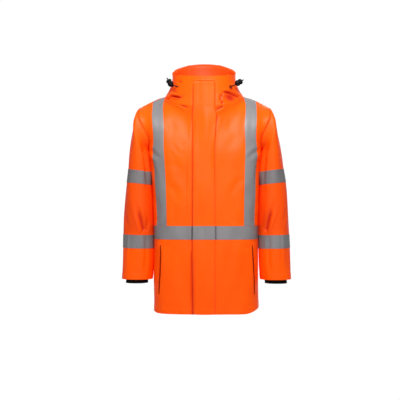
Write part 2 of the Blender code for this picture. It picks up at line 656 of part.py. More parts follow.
# welts: lower and upper end (girth, height), width
WELTS = [
    dict(name="pocket_welt_right", side=-1, g0=0.1925, z0=-0.745, g1=0.1785, z1=-0.552, w=0.009),
    dict(name="pocket_welt_left", side=1, g0=0.2000, z0=-0.745, g1=0.1865, z1=-0.552, w=0.009),
    dict(name="chest_pocket_welt", side=-1, g0=0.0690, z0=-0.415, g1=0.0690, z1=-0.243, w=0.008),
]
for wt in WELTS:
    rows, P, N = 9, [], []
    for i in range(rows):
        t = i / (rows - 1)
        g, z = wt["g0"] + (wt["g1"] - wt["g0"]) * t, wt["z0"] + (wt["z1"] - wt["z0"]) * t
        pts = [on_front(wt["side"], g + d, z) for d in (-wt["w"] / 2, wt["w"] / 2)]
        P.append([p for p, n in pts])
        N.append([n for p, n in pts])
    wall(wt["name"], np.array(P), np.array(N), 0.0006, 0.0016, ORANGE, flip=wt["side"] < 0)


# ------------------------------------------------------------ hood drawcord ends
CORD_D = 0.0045
def disc_ring(name, at, n, r_out, r_in, thick, look):
    n = unit(n)
    u = unit(np.cross(n, [0, 0, 1.0]))
    v = np.cross(n, u)
    k = 16
    P = np.zeros((2, k, 3))
    for j in range(k):
        a = 2 * math.pi * j / k
        d = u * math.cos(a) + v * math.sin(a)
        P[0, j], P[1, j] = at + d * r_in, at + d * r_out
    out = np.dot(face_normals(P, True)[0, 0], n) < 0
    return wall(name, P, np.broadcast_to(n, P.shape), 0.0, thick, look, flip=bool(out), closed=True,
                leaning=False)


def barrel(name, at, axis, half, radius, hole, look):
    """Cord lock: a round-shouldered barrel with a hole along it for the cord."""
    axis = unit(axis)
    u = unit(np.cross(axis, [0, 1.0, 0]))
    v = np.cross(axis, u)
    prof = [(-half, hole), (-half, radius * 0.72), (-half * 0.72, radius * 0.98),
            (-half * 0.1, radius * 0.90), (half * 0.2, radius), (half * 0.75, radius * 0.92),
            (half, radius * 0.60), (half, hole)]
    k = 12
    verts, faces = [], []
    for s, r in prof:
        for j in range(k):
            a = 2 * math.pi * j / k
            verts.append(at + axis * s + (u * math.cos(a) + v * math.sin(a)) * r)
    m = len(prof)
    for i in range(m):
        for j in range(k):
            a, b = i * k + j, i * k + (j + 1) % k
            c, d = ((i + 1) % m) * k + (j + 1) % k, ((i + 1) % m) * k + j
            faces += [[a, b, c], [a, c, d]]
    obj = add_object(name, verts, faces, look)
    bm = bmesh.new()
    bm.from_mesh(obj.data)
    bmesh.ops.recalc_face_normals(bm, faces=bm.faces)
    bm.to_mesh(obj.data)
    bm.free()
    return obj


def cord(name, pts, d):
    """A tube on a smooth curve through the route's own points."""
    pts = [np.array(p) for p in pts]
    out = []
    for i in range(len(pts) - 1):
        p0, p1, p2, p3 = pts[max(i - 1, 0)], pts[i], pts[i + 1], pts[min(i + 2, len(pts) - 1)]
        for t in np.linspace(0, 1, 3)[:-1]:
            out.append(0.5 * (2*p1 + (p2 - p0)*t + (2*p0 - 5*p1 + 4*p2 - p3)*t*t
                              + (3*p1 - p0 - 3*p2 + p3)*t**3))
    out.append(pts[-1])
    cu = bpy.data.curves.new(name, "CURVE")
    cu.dimensions = "3D"
    sp = cu.splines.new("POLY")
    sp.points.add(len(out) - 1)
    for pt, q in zip(sp.points, out):
        pt.co = (*q, 1)
    cu.bevel_depth = d / 2
    cu.bevel_resolution = 2
    cu.use_fill_caps = True
    cu.resolution_u = 1
    cu.materials.append(material(name + "_mat", BLACK))
    obj = bpy.data.objects.new(name, cu)
    bpy.context.scene.collection.objects.link(obj)
    return obj


EYELET_GIRTH, EYELET_ROW = 0.106, 7
for side, G, cols in (("right", HR, -1), ("left", HL, 1)):
    girth = np.concatenate([[0], np.cumsum(np.linalg.norm(np.diff(G.P[EYELET_ROW], axis=0), axis=1))])
    pos = lean(np.array([[np.interp(EYELET_GIRTH, girth, G.P[EYELET_ROW][:, k]) for k in range(3)]]))[0]
    nrm = unit(np.array([np.interp(EYELET_GIRTH, girth, G.N[EYELET_ROW][:, k]) for k in range(3)]))
    back = unit(np.array([cols * 0.75, 0.62, 0.0]) - nrm * np.dot(np.array([cols * 0.75, 0.62, 0.0]), nrm))
    disc_ring("eyelet_" + side, pos + nrm * 0.0012, nrm, 0.0062, 0.0036, 0.0012, BLACK)
    tilt = {"right": 0.80, "left": 0.42}[side]           # how upright each lock sits
    axis = unit(back * (1 - 0.5 * tilt) + np.array([0, 0, tilt]) + nrm * 0.12)
    lock = pos + nrm * 0.0150 + back * 0.031 + np.array([0, 0, 0.015])
    start = pos + nrm * 0.0030
    route = [start, pos + nrm * 0.0080 + back * 0.0030 + np.array([0, 0, 0.0005]),
             pos + nrm * 0.0115 + back * 0.0090 + np.array([0, 0, 0.0025]),
             lock - axis * 0.0180, lock - axis * 0.0120, lock - axis * 0.0060, lock,
             lock + axis * 0.0060, lock + axis * 0.0120, lock + axis * 0.0180, lock + axis * 0.0240]
    cord("cord_" + side, route, CORD_D)
    barrel("toggle_" + side, lock, axis, 0.0145, 0.0112, 0.0028, BLACK)
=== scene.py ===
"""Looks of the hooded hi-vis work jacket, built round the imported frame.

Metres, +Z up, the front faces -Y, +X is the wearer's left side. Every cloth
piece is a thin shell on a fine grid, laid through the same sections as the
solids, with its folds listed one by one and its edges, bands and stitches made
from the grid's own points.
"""
import math

import bmesh
import bpy
import numpy as np
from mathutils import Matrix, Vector


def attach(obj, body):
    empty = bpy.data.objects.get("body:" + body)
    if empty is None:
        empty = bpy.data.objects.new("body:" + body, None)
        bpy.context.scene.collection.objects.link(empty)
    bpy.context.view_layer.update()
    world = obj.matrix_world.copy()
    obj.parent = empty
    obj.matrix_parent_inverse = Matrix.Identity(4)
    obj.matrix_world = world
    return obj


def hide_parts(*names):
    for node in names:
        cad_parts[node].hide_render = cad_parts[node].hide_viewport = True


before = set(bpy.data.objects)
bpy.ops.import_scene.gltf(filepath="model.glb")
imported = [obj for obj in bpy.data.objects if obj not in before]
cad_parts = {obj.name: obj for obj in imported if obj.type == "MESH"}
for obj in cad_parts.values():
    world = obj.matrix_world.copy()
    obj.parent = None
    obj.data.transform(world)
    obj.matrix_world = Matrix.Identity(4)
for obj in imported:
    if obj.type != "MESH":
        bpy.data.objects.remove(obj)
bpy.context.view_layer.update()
STEP = 0.0048        # spacing of the fine grids

# ------------------------------------------------------------ camera
cam_data = bpy.data.cameras.new("camera")
cam_data.lens, cam_data.sensor_width = 80.1, 36.0
cam_data.clip_start, cam_data.clip_end = 0.1, 60.0
camera = bpy.data.objects.new("camera", cam_data)
bpy.context.scene.collection.objects.link(camera)
camera.location = (0.0939, -3.3988, -0.390)              # two degrees round from square on
camera.rotation_euler = (math.pi / 2, 0.0, math.radians(2.0))
bpy.context.scene.camera = camera

# ------------------------------------------------------------ sizes shared with the solids
WALL = 0.0015
TAPE_LIFT, TAPE_THICK, TAPE_WIDTH = 0.0003, 0.0006, 0.050
FLAP_LIFT, FLAP_THICK = 0.0018, 0.0016
ZIP_GAP, FLAP_FREE, FLAP_SEAM = 0.0030, 0.0455, 0.0350
BACK_TAPE_SHIFT = -0.003
HEM_Z, WAIST_LO, WAIST_HI, CHEST_Z = -0.809, -0.5350, -0.4855, -0.205
HEM_CORNER = {-1: (0.006, 0.172), 1: (0.018, 0.140)}
NECK_W, NECK_F, NECK_B = 0.150, 0.107, 0.084
NECK_FZ, NECK_SZ, NECK_BZ = -0.045, 0.005, 0.014
TIP = np.array([0.2415, 0.004, -0.0345])
PIT = np.array([0.2115, 0.000, CHEST_Z])
ARM_FRONT, ARM_BACK, ARM_BOW, ARM_SKEW = 0.080, 0.084, 0.002, 0.030
UPPER_ROWS = 8
FILL = {-1: (0.016, 0.024), 1: (0.010, 0.014)}
FILL_SHARE = dict(mm=(0.0, 0.0), tape0=(0.42, 0.92), tape1=(0.95, 1.0), out=(0.55, 0.62))
TORSO = [
    dict(z=-0.809, w=0.1970, f=0.148, b=0.144, n=3.60, nb=2.80),
    dict(z=-0.650, w=0.1963, f=0.1455, b=0.142, n=3.70, nb=2.80),
    dict(z=-0.500, w=0.1967, f=0.141, b=0.139, n=3.90, nb=2.80),
    dict(z=-0.380, w=0.1995, f=0.136, b=0.134, n=4.10, nb=2.85),
    dict(z=-0.290, w=0.2035, f=0.130, b=0.130, n=4.30, nb=2.95),
    dict(z=-0.205, w=0.2115, f=0.124, b=0.126, n=4.40, nb=3.10),
]
TAPE_LINE = [dict(z=-0.809, g=0.1430), dict(z=-0.500, g=0.1430), dict(z=-0.345, g=0.1452),
             dict(z=-0.272, g=0.1476), dict(z=-0.205, g=0.1505)]
LOWER_ROWS = [HEM_Z, -0.738, -0.665, -0.595, WAIST_LO, WAIST_HI,
              -0.415, -0.345, -0.272, CHEST_Z]
FRONT_LINE = [dict(z=-0.205, y=-0.124), dict(z=-0.150, y=-0.122),
              dict(z=-0.090, y=-0.115), dict(z=-0.045, y=-0.107)]
BACK_LINE = [dict(z=-0.205, y=0.126), dict(z=-0.130, y=0.124),
             dict(z=-0.060, y=0.112), dict(z=-0.015, y=0.095), dict(z=0.014, y=0.084)]
SLEEVE = [
    dict(xi=0.2175, zi=-0.2078, xo=0.2515, zo=-0.0440, y=0.002, r=0.0830, bow=0.014, skew=0.016),
    dict(xi=0.2168, zi=-0.2130, xo=0.2610, zo=-0.0660, y=0.001, r=0.0840, bow=0.017, skew=0.009),
    dict(xi=0.2145, zi=-0.2195, xo=0.2680, zo=-0.0950, y=0.000, r=0.0845, bow=0.015, skew=0.004),
    dict(xi=0.2132, zi=-0.2285, xo=0.2755, zo=-0.1300, y=0.000, r=0.0845, bow=0.010),
    dict(xi=0.2090, zi=-0.2400, xo=0.2835, zo=-0.1700, y=0.000, r=0.0840, bow=0.005),
    dict(xi=0.2074, zi=-0.2560, xo=0.2895, zo=-0.2120, y=-0.001, r=0.0830, bow=0.002),
    dict(xi=0.2054, zi=-0.2840, xo=0.2955, zo=-0.2730, y=-0.002, r=0.0820, bow=0.0),
    dict(xi=0.2030, zi=-0.3330, xo=0.3025, zo=-0.3225, y=-0.004, r=0.0800, bow=0.0),
    dict(xi=0.1989, zi=-0.4250, xo=0.3105, zo=-0.4250, y=-0.009, r=0.0760, bow=0.0),
    dict(xi=0.1984, zi=-0.5220, xo=0.3145, zo=-0.5195, y=-0.015, r=0.0700, bow=0.0),
    dict(xi=0.1983, zi=-0.5720, xo=0.3165, zo=-0.5695, y=-0.018, r=0.0670, bow=0.0),
    dict(xi=0.1988, zi=-0.6280, xo=0.3185, zo=-0.6280, y=-0.021, r=0.0640, bow=0.0),
    dict(xi=0.2042, zi=-0.6880, xo=0.3205, zo=-0.6875, y=-0.024, r=0.0610, bow=0.0),
]
SLEEVE_N = 2.2
SLEEVE_TAPES = dict(upper=(7, 8), lower=(10, 11))
CUFF = [dict(z=-0.642, rx=0.0540, ry=0.0585), dict(z=-0.662, rx=0.0440, ry=0.0490),
        dict(z=-0.703, rx=0.0412, ry=0.0455)]
HOOD_W, HOOD_F, HOOD_B = 0.1185, 0.099, 0.100
HOOD_FZ, HOOD_SZ, HOOD_BZ = 0.071, 0.086, 0.136
HOOD_ROWS = 12
POUCH = [dict(s=0.00, e=0.000, h=0.000), dict(s=0.10, e=0.010, h=0.008),
         dict(s=0.20, e=0.024, h=0.007), dict(s=0.30, e=0.033, h=-0.012),
         dict(s=0.45, e=0.034, h=-0.090), dict(s=0.60, e=0.046, h=-0.190),
         dict(s=0.68, e=0.066, h=-0.222), dict(s=0.76, e=0.092, h=-0.212),
         dict(s=0.88, e=0.112, h=-0.130), dict(s=1.00, e=0.104, h=-0.036)]
LEAN = [dict(z=-0.81, x=0.0), dict(z=-0.45, x=-0.001), dict(z=-0.19, x=-0.004),
        dict(z=0.0, x=-0.0085), dict(z=0.15, x=-0.0115)]


def table(rows, key, at, along="z"):
    """Value of one column of a table, on a smooth curve through its rows."""
    xs = np.array([r[along] for r in rows], float)
    ys = np.array([r[key] for r in rows], float)
    m = np.gradient(ys, xs)
    at = np.clip(np.asarray(at, float), xs[0], xs[-1])
    i = np.clip(np.searchsorted(xs, at) - 1, 0, len(xs) - 2)
    h = xs[i + 1] - xs[i]
    t = (at - xs[i]) / h
    return ((2*t**3 - 3*t*t + 1) * ys[i] + (t**3 - 2*t*t + t) * h * m[i]
            + (3*t*t - 2*t**3) * ys[i + 1] + (t**3 - t*t) * h * m[i + 1])


def power(v, p):
    return np.sign(v) * np.abs(v) ** p


def quarter(w, d, n, steps=400):
    """Points and girth of a quarter ring from its middle (x=0) to its side."""
    a = np.linspace(0, math.pi / 2, steps)
    x = w * np.sin(a) ** (2 / n)
    y = d * np.cos(a) ** (2 / n)
    x[0], y[0], x[-1], y[-1] = 0.0, d, w, 0.0
    s = np.concatenate([[0], np.cumsum(np.hypot(np.diff(x), np.diff(y)))])
    return x, y, s


def unit(v):
    v = np.asarray(v, float)
    return v / np.maximum(np.linalg.norm(v, axis=-1, keepdims=True), 1e-12)


def column_girth(cols, k, total_in, total, tape_in):
    kind, val = cols[k]
    if kind == "mm":
        return val
    if kind == "in":
        last = max([v for t, v in cols if t == "mm"] + [0.0])
        return last + (total_in - last) * val
    if kind == "tape":
        return total_in + tape_in * val
    out = total_in + tape_in
    return out + (total - out) * val


RIGHT_COLS = [("mm", ZIP_GAP / 2), ("mm", 0.025), ("mm", FLAP_FREE), ("in", 0.333),
              ("in", 0.667), ("in", 1.0), ("tape", 0.5), ("tape", 1.0),
              ("out", 0.5), ("out", 1.0)]
LEFT_COLS = [("mm", ZIP_GAP / 2), ("mm", FLAP_SEAM), ("in", 0.25), ("in", 0.5),
             ("in", 0.75), ("in", 1.0), ("tape", 0.5), ("tape", 1.0),
             ("out", 0.5), ("out", 1.0)]
BACK_COLS = [("in", 0.0), ("in", 0.16), ("in", 0.32), ("in", 0.52), ("in", 0.70),
             ("in", 0.86), ("in", 1.0), ("tape", 0.5), ("tape", 1.0), ("out", 0.5),
             ("out", 1.0)]


def neck_col(cols):
    return cols.index(("in", 1.0))


def girths(cols, total_in, total, tape_in):
    return np.array([column_girth(cols, k, total_in, total, tape_in) for k in range(len(cols))])


def torso_ring(face, z, girth_of):
    depth = float(table(TORSO, "f" if face < 0 else "b", z))
    x, y, s = quarter(float(table(TORSO, "w", z)), depth, float(table(TORSO, "n" if face < 0 else "nb", z)))
    g = girth_of(s[-1])
    return np.stack([np.interp(g, s, x), face * np.interp(g, s, y), np.full(np.shape(g), z)], -1)


def hem_corner(side, x):
    rise, start = HEM_CORNER[side]
    return rise * np.maximum(0.0, (x - start) / (TORSO[0]["w"] - start)) ** 2


def tape_in_at(face, z):
    return float(table(TAPE_LINE, "g", z)) + (BACK_TAPE_SHIFT if face > 0 else 0.0)


def neck_ring(face, t):
    x, y, s = quarter(NECK_W, NECK_F if face < 0 else NECK_B, 2.2)
    px, py = np.interp(t * s[-1], s, x), np.interp(t * s[-1], s, y)
    c = py / (NECK_F if face < 0 else NECK_B)
    z = NECK_SZ + ((NECK_FZ if face < 0 else NECK_BZ) - NECK_SZ) * c ** 1.4
    return np.stack([px, face * py + 0.004 * px / NECK_W, z], -1)


def neck_length(face):
    return quarter(NECK_W, NECK_F if face < 0 else NECK_B, 2.2)[2][-1]


NECK_SIDE = neck_ring(-1, 1.0)


def shoulder(t):
    t = np.asarray(t, float)[..., None]
    p = NECK_SIDE + (TIP - NECK_SIDE) * t
    p[..., 2] += 0.004 * np.sin(math.pi * t[..., 0])
    return p


def armhole(face, t):
    """t from 0 at the underarm to 1 at the shoulder point."""
    t = np.asarray(t, float)
    a = math.pi * (1 - t)
    mid, half = (TIP + PIT) / 2, (TIP - PIT) / 2
    r = ARM_FRONT if face < 0 else ARM_BACK
    p = mid + half * power(np.cos(a), 2 / 2.15)[..., None]
    p[..., 1] += face * r * np.abs(np.sin(a)) ** (2 / 2.15)
    p[..., 0] += (ARM_BOW + ARM_SKEW * np.cos(a) * np.abs(np.sin(a))) * np.sin(a) ** 2
    return p


def smooth_patch(P, fixed_rows, u, v):
    """The cloth between its seams takes the smoothest surface: least bending."""
    R, C = P.shape[:2]
    free = [(r, c) for r in range(fixed_rows, R - 1) for c in range(1, C - 1)]
    index = {rc: i for i, rc in enumerate(free)}
    rows, rhs = [], []

    def stencil(items):
        line, b = np.zeros(len(free)), np.zeros(3)
        for rc, w in items:
            if rc in index:
                line[index[rc]] += w
            else:
                b -= w * P[rc]
        if np.any(line):
            rows.append(line)
            rhs.append(b)

    for r in range(1, R - 1):
        for c in range(0, C):
            h1, h2 = v[r][c] - v[r - 1][c], v[r + 1][c] - v[r][c]
            k = 2 / (h1 + h2)
            stencil([((r - 1, c), k / h1), ((r + 1, c), k / h2), ((r, c), -k / h1 - k / h2)])
    for r in range(fixed_rows, R - 1):
        for c in range(1, C - 1):
            h1, h2 = u[c] - u[c - 1], u[c + 1] - u[c]
            k = 2 / (h1 + h2)
            stencil([((r, c - 1), k / h1), ((r, c + 1), k / h2), ((r, c), -k / h1 - k / h2)])
    X = np.linalg.lstsq(np.array(rows), np.array(rhs), rcond=None)[0]
    for rc, i in index.items():
        P[rc] = X[i]


def fill_out(P, cols, face, low):
    """Sideways and outward fullness added to the rows above the chest."""
    for c, (kind, val) in enumerate(cols):
        if kind in ("mm", "in"):
            a, b = FILL_SHARE["mm"], FILL_SHARE["tape0"]
            t = val ** 2 if kind == "in" else 0.0
        elif kind == "tape":
            a, b, t = FILL_SHARE["tape0"], FILL_SHARE["tape1"], val
        else:
            a, b = FILL_SHARE["tape1"], (0.0, 0.0)
            t = 2 * val if val <= 0.5 else 1.0
            a, b = (FILL_SHARE["tape1"], FILL_SHARE["out"]) if val <= 0.5 else ((0.0, 0.0), (0.0, 0.0))
        for k in range(1, UPPER_ROWS):
            w = math.sin(math.pi * (k / UPPER_ROWS) ** 1.35) ** 0.9
            P[low - 1 + k, c, 0] += FILL[face][0] * (a[0] + (b[0] - a[0]) * t) * w
            P[low - 1 + k, c, 1] += face * FILL[face][1] * (a[1] + (b[1] - a[1]) * t) * w


def half_panel(cols, face, side):
    """The solids' own sparse rows and columns for half of a front or the back."""
    C, low, R = len(cols), len(LOWER_ROWS), len(LOWER_ROWS) + UPPER_ROWS
    P = np.zeros((R, C, 3))
    for r, z in enumerate(LOWER_ROWS):
        P[r] = torso_ring(face, z, lambda L: girths(cols, tape_in_at(face, z), L, TAPE_WIDTH))
        if r == 0:
            P[r, :, 2] += hem_corner(side, P[r, :, 0])
    full = neck_length(face)
    slope = float(np.linalg.norm(TIP - NECK_SIDE))
    for c in range(C):
        kind, val = cols[c]
        if c <= neck_col(cols):
            P[-1, c] = neck_ring(face, column_girth(cols, c, full, full + 0.1, TAPE_WIDTH) / full)
        else:
            g = TAPE_WIDTH * val if kind == "tape" else TAPE_WIDTH + (slope - TAPE_WIDTH) * val
            P[-1, c] = shoulder(g / slope)
    line = FRONT_LINE if face < 0 else BACK_LINE
    for k in range(1, UPPER_ROWS):
        t = k / UPPER_ROWS
        z = CHEST_Z + (line[-1]["z"] - CHEST_Z) * t
        P[low - 1 + k, 0] = [P[low - 1, 0, 0] * (1 - t) + P[-1, 0, 0] * t, float(table(line, "y", z)), z]
        P[low - 1 + k, C - 1] = armhole(face, t)
    u = np.concatenate([[0], np.cumsum(np.linalg.norm(np.diff(P[low - 1], axis=0), axis=1))])
    v = np.zeros((R, C))
    for c in range(C):
        span = float(np.linalg.norm(P[-1, c] - P[low - 1, c])) * 1.12
        for r in range(R):
            v[r, c] = LOWER_ROWS[r] if r < low else CHEST_Z + span * (r - low + 1) / UPPER_ROWS
    smooth_patch(P, low, u, v)
    fill_out(P, cols, face, low)
    return P


# ------------------------------------------------------------ fine grids
def hermite(Y, xs, k, f):
    """Smooth curve through rows Y at knots xs, at cell k and share f."""
    d = np.diff(xs)
    s = np.diff(Y, axis=0) / d[:, None]
    m = np.empty_like(Y)
    m[1:-1] = (s[:-1] * d[1:, None] + s[1:] * d[:-1, None]) / (d[:-1] + d[1:])[:, None]
    m[0], m[-1] = 1.5 * s[0] - 0.5 * m[1], 1.5 * s[-1] - 0.5 * m[-2]
    h, t = d[k][:, None], f[:, None]
    return ((2*t**3 - 3*t*t + 1) * Y[k] + (t**3 - 2*t*t + t) * h * m[k]
            + (3*t*t - 2*t**3) * Y[k + 1] + (t**3 - t*t) * h * m[k + 1])


def spread(knots, step, first=False, last=False):
    """Cell and share of each fine line between coarse ones, closer at a seam."""
    ks, fs = [], []
    n_cells = len(knots) - 1
    for k in range(n_cells):
        w = abs(float(knots[k + 1] - knots[k]))
        n = max(1, int(round(w / step)))
        inner = list(np.arange(n) / n)
        if k == 0 and first:
            inner = [0.0, min(0.0016 / w, 0.3 / n), min(0.0034 / w, 0.6 / n)] + inner[1:]
        if k == n_cells - 1 and last:
            inner += [1 - min(0.0034 / w, 0.6 / n), 1 - min(0.0016 / w, 0.3 / n)]
        ks += [k] * len(inner)
        fs += inner
    ks.append(n_cells - 1)
    fs.append(1.0)
    return np.array(ks), np.array(fs)


def lerp_at(values, k, f):
    return values[k] * (1 - f) + values[k + 1] * f


def ease(t):
    t = np.clip(t, 0, 1)
    return t * t * (3 - 2 * t)


V_KNOTS = np.array(LOWER_ROWS + [CHEST_Z + 0.200 * k / UPPER_ROWS for k in range(1, UPPER_ROWS + 1)])
ROW_K, ROW_F = spread(V_KNOTS, STEP, True, True)
LOW = len(LOWER_ROWS)


def body_grid(cols, face, side):
    """Fine rows and columns of half a front or the back, wearer's left."""
    P = half_panel(cols, face, side)
    R, C = P.shape[:2]
    nominal = girths(cols, 0.1435, 0.300, TAPE_WIDTH)
    ck, cf = spread(nominal, STEP, True, True)
    G = np.zeros((R, len(ck), 3))
    for r in range(R):
        if r < LOW:
            inner = tape_in_at(face, LOWER_ROWS[r])
            G[r] = torso_ring(face, LOWER_ROWS[r],
                              lambda L: lerp_at(girths(cols, inner, L, TAPE_WIDTH), ck, cf))
            if r == 0:
                G[r, :, 2] += hem_corner(side, G[r, :, 0])
        else:
            s = np.concatenate([[0], np.cumsum(np.linalg.norm(np.diff(P[r], axis=0), axis=1))])
            G[r] = hermite(P[r], s, ck, cf)
    full, slope, nc = neck_length(face), float(np.linalg.norm(TIP - NECK_SIDE)), neck_col(cols)
    g_neck = np.array([column_girth(cols, c, full, full + 0.1, TAPE_WIDTH) for c in range(C)])
    g_sh = np.array([0.0 if c <= nc else (TAPE_WIDTH * cols[c][1] if cols[c][0] == "tape" else
                     TAPE_WIDTH + (slope - TAPE_WIDTH) * cols[c][1]) for c in range(C)])
    on_neck = ck < nc
    G[-1] = np.where(on_neck[:, None], neck_ring(face, np.clip(lerp_at(g_neck, ck, cf) / full, 0, 1)),
                     shoulder(lerp_at(g_sh, ck, cf) / slope))
    F = np.stack([hermite(G[:, j], V_KNOTS, ROW_K, ROW_F) for j in range(G.shape[1])], axis=1)
    # the side seam and armhole edge runs exactly on its own curve
    edge = np.zeros((len(ROW_K), 3))
    for i, (k, f) in enumerate(zip(ROW_K, ROW_F)):
        if k < LOW - 1:
            z = V_KNOTS[k] * (1 - f) + V_KNOTS[k + 1] * f
            edge[i] = torso_ring(face, z, lambda L: L)
            if k == 0:
                edge[i, 2] += float(hem_corner(side, TORSO[0]["w"])) * (1 - f)
        else:
            edge[i] = armhole(face, (k - LOW + 1 + f) / UPPER_ROWS)
    gap = edge - F[:, -1]
    across = ck + cf
    start = float(cols.index(("tape", 1.0)))
    F += gap[:, None, :] * ease((across - start) / (C - 1 - start))[None, :, None]
    return F, ck, cf


def sleeve_fine():
    """Rows from the armhole down, columns round from the shoulder point, front first."""
    per = max(3, int(round(0.032 / STEP)))
    n = 2 * UPPER_ROWS * per
    j = np.arange(n)
    t = np.where(j <= n // 2, 1 - j / (n / 2), (j - n / 2) / (n / 2))
    G = np.zeros((len(SLEEVE) + 1, n, 3))
    G[0] = np.where((j <= n // 2)[:, None], armhole(-1, t), armhole(1, t))
    a = 2 * math.pi * j / n
    for i, s in enumerate(SLEEVE):
        inner, outer = np.array([s["xi"], s["y"], s["zi"]]), np.array([s["xo"], s["y"], s["zo"]])
        mid, half = (inner + outer) / 2, (outer - inner) / 2
        p = mid + half * power(np.cos(a), 2 / SLEEVE_N)[:, None]
        p[:, 1] -= s["r"] * power(np.sin(a), 2 / SLEEVE_N)
        p[:, 0] += (s["bow"] + s.get("skew", 0.0) * np.cos(a) * np.abs(np.sin(a))) * np.sin(a) ** 2
        G[i + 1] = p
    knots = np.concatenate([[0], np.cumsum(np.linalg.norm(np.diff(G, axis=0), axis=2).mean(axis=1))])
    rk, rf = spread(knots, STEP, True, True)
    F = np.stack([hermite(G[:, c], knots, rk, rf) for c in range(n)], axis=1)
    return F, rk, rf, a


def hood_top(face, t):
    x, y, s = quarter(HOOD_W, HOOD_F if face < 0 else HOOD_B, 2.15)
    px, py = np.interp(t * s[-1], s, x), np.interp(t * s[-1], s, y)
    c = py / (HOOD_F if face < 0 else HOOD_B)
    z = HOOD_SZ + ((HOOD_FZ if face < 0 else HOOD_BZ) - HOOD_SZ) * c ** (1.5 if face < 0 else 1.0)
    return np.array([px, face * py, z])


def hood_column(base, top, fullness, at_share):
    """From the neck seam up to the edge; behind, over the roll into the hanging pouch."""
    h = np.linspace(0, 1, 41)
    f = (1 - h) ** 2
    path = np.stack([top[0] + (base[0] - top[0]) * f, top[1] + (base[1] - top[1]) * f,
                     base[2] + (top[2] - base[2]) * h], -1)
    if fullness > 0:
        out = unit(np.array([top[0] * 0.45, max(top[1], 0.03), 0.0]))
        e_scale, h_scale = 0.05 + 0.95 * fullness ** 0.7, 0.04 + 0.96 * fullness
        s = np.linspace(0, 1, 91)[1:]
        e, hh = table(POUCH, "e", s, "s") * e_scale, table(POUCH, "h", s, "s") * h_scale
        narrow = 1 - 0.30 * np.maximum(0.0, (s - 0.3) / 0.7) ** 1.2
        p = top + out * e[:, None] + np.stack([0 * hh, 0 * hh, hh], -1)
        p[:, 0] *= narrow
        path = np.concatenate([path, p])
    d = np.concatenate([[0], np.cumsum(np.linalg.norm(np.diff(path, axis=0), axis=1))])
    at = at_share * d[-1]
    return np.stack([np.interp(at, d, path[:, k]) for k in range(3)], -1)


HOOD_K, HOOD_F_ = spread(np.linspace(0, 0.36, HOOD_ROWS + 1), STEP * 0.8, True, True)
HOOD_SHARE = (HOOD_K + HOOD_F_) / HOOD_ROWS


def hood_half(cols, face, ck, cf):
    """Fine columns from the middle out to the side of the neck, wearer's left."""
    full_neck = neck_length(face)
    full_top = quarter(HOOD_W, HOOD_F if face < 0 else HOOD_B, 2.15)[2][-1]
    nc = neck_col(cols)
    gn = np.array([column_girth(cols, c, full_neck, full_neck + 0.1, TAPE_WIDTH) for c in range(nc + 1)])
    gt = np.array([column_girth(cols, c, full_top, full_top + 0.1, TAPE_WIDTH) for c in range(nc + 1)])
    grid, shares = [], []
    for k, f in zip(ck, cf):
        if k >= nc:
            if k == nc and f == 0.0:
                k, f = nc - 1, 1.0
            else:
                break
        tn = (gn[k] * (1 - f) + gn[k + 1] * f) / full_neck
        tt = (gt[k] * (1 - f) + gt[k + 1] * f) / full_top
        fullness = 0.0 if face < 0 else (0.5 + 0.5 * math.cos(math.pi * min(tt / 0.95, 1.0))) ** 0.7
        grid.append(hood_column(neck_ring(face, tn), hood_top(face, tt), fullness, HOOD_SHARE))
        shares.append(tt)
    return np.array(grid).transpose(1, 0, 2), np.array(shares)


def mirror(P):
    Q = P.copy()
    Q[..., 0] *= -1
    return Q


# ------------------------------------------------------------ grid helpers
def normals(P, closed=False):
    """Outward on grids whose rows go up and whose columns go from right to left of the wearer's front."""
    du = np.roll(P, -1, 1) - np.roll(P, 1, 1)
    if not closed:
        du[:, 0], du[:, -1] = P[:, 1] - P[:, 0], P[:, -1] - P[:, -2]
    dv = np.empty_like(P)
    dv[1:-1] = P[2:] - P[:-2]
    dv[0], dv[-1] = P[1] - P[0], P[-1] - P[-2]
    return unit(np.cross(du, dv))


def lean(P):
    """The sides and back lean as the table says; the strip under the flap stays upright."""
    Q = P.copy()
    still = (1 - ease((np.abs(P[..., 0]) - 0.045) / 0.070)) * ease(-P[..., 1] / 0.050)
    Q[..., 0] += table(LEAN, "x", P[..., 2]) * (1 - still)
    return Q


def fold(S, T, pts, width, depth, ends=(0.3, 0.3), kind="trough", wrap=0.0):
    """Offset along the normal of one listed fold, which runs through pts.
    S, T are places on the panel in metres. A trough has soft shoulders; a step is
    cloth that lies over on its left side."""
    pts = np.array(pts, float)
    seg = np.linalg.norm(np.diff(pts, axis=0), axis=1)
    total = seg.sum()
    best = np.full(S.shape, 1e9)
    along = np.zeros(S.shape)
    sign = np.ones(S.shape)
    shifts = (0.0, wrap, -wrap) if wrap else (0.0,)
    for sh in shifts:
        run = 0.0
        for i, L in enumerate(seg):
            ax, ay = pts[i][0] + sh, pts[i][1]
            dx, dy = (pts[i + 1] - pts[i]) / L
            q = np.clip((S - ax) * dx + (T - ay) * dy, 0, L)
            ex, ey = S - (ax + q * dx), T - (ay + q * dy)
            d = np.hypot(ex, ey)
            near = d < best
            best = np.where(near, d, best)
            along = np.where(near, (run + q) / total, along)
            sign = np.where(near, np.where(ex * dy - ey * dx > 0, 1.0, -1.0), sign)
            run += L
    amp = np.ones(S.shape)
    if ends[0] > 0:
        amp *= ease(along / ends[0])
    if ends[1] > 0:
        amp *= ease((1 - along) / ends[1])
    x = best / width
    if kind == "trough":
        prof = -np.exp(-x * x) + 0.42 * np.exp(-((x - 1.9) / 0.95) ** 2)
    elif kind == "ridge":
        prof = np.exp(-x * x) - 0.30 * np.exp(-((x - 1.9) / 0.95) ** 2)
    else:
        prof = sign * np.tanh(2.2 * x) * np.exp(-(x / 1.5) ** 2) * 1.3
    return prof * amp * depth


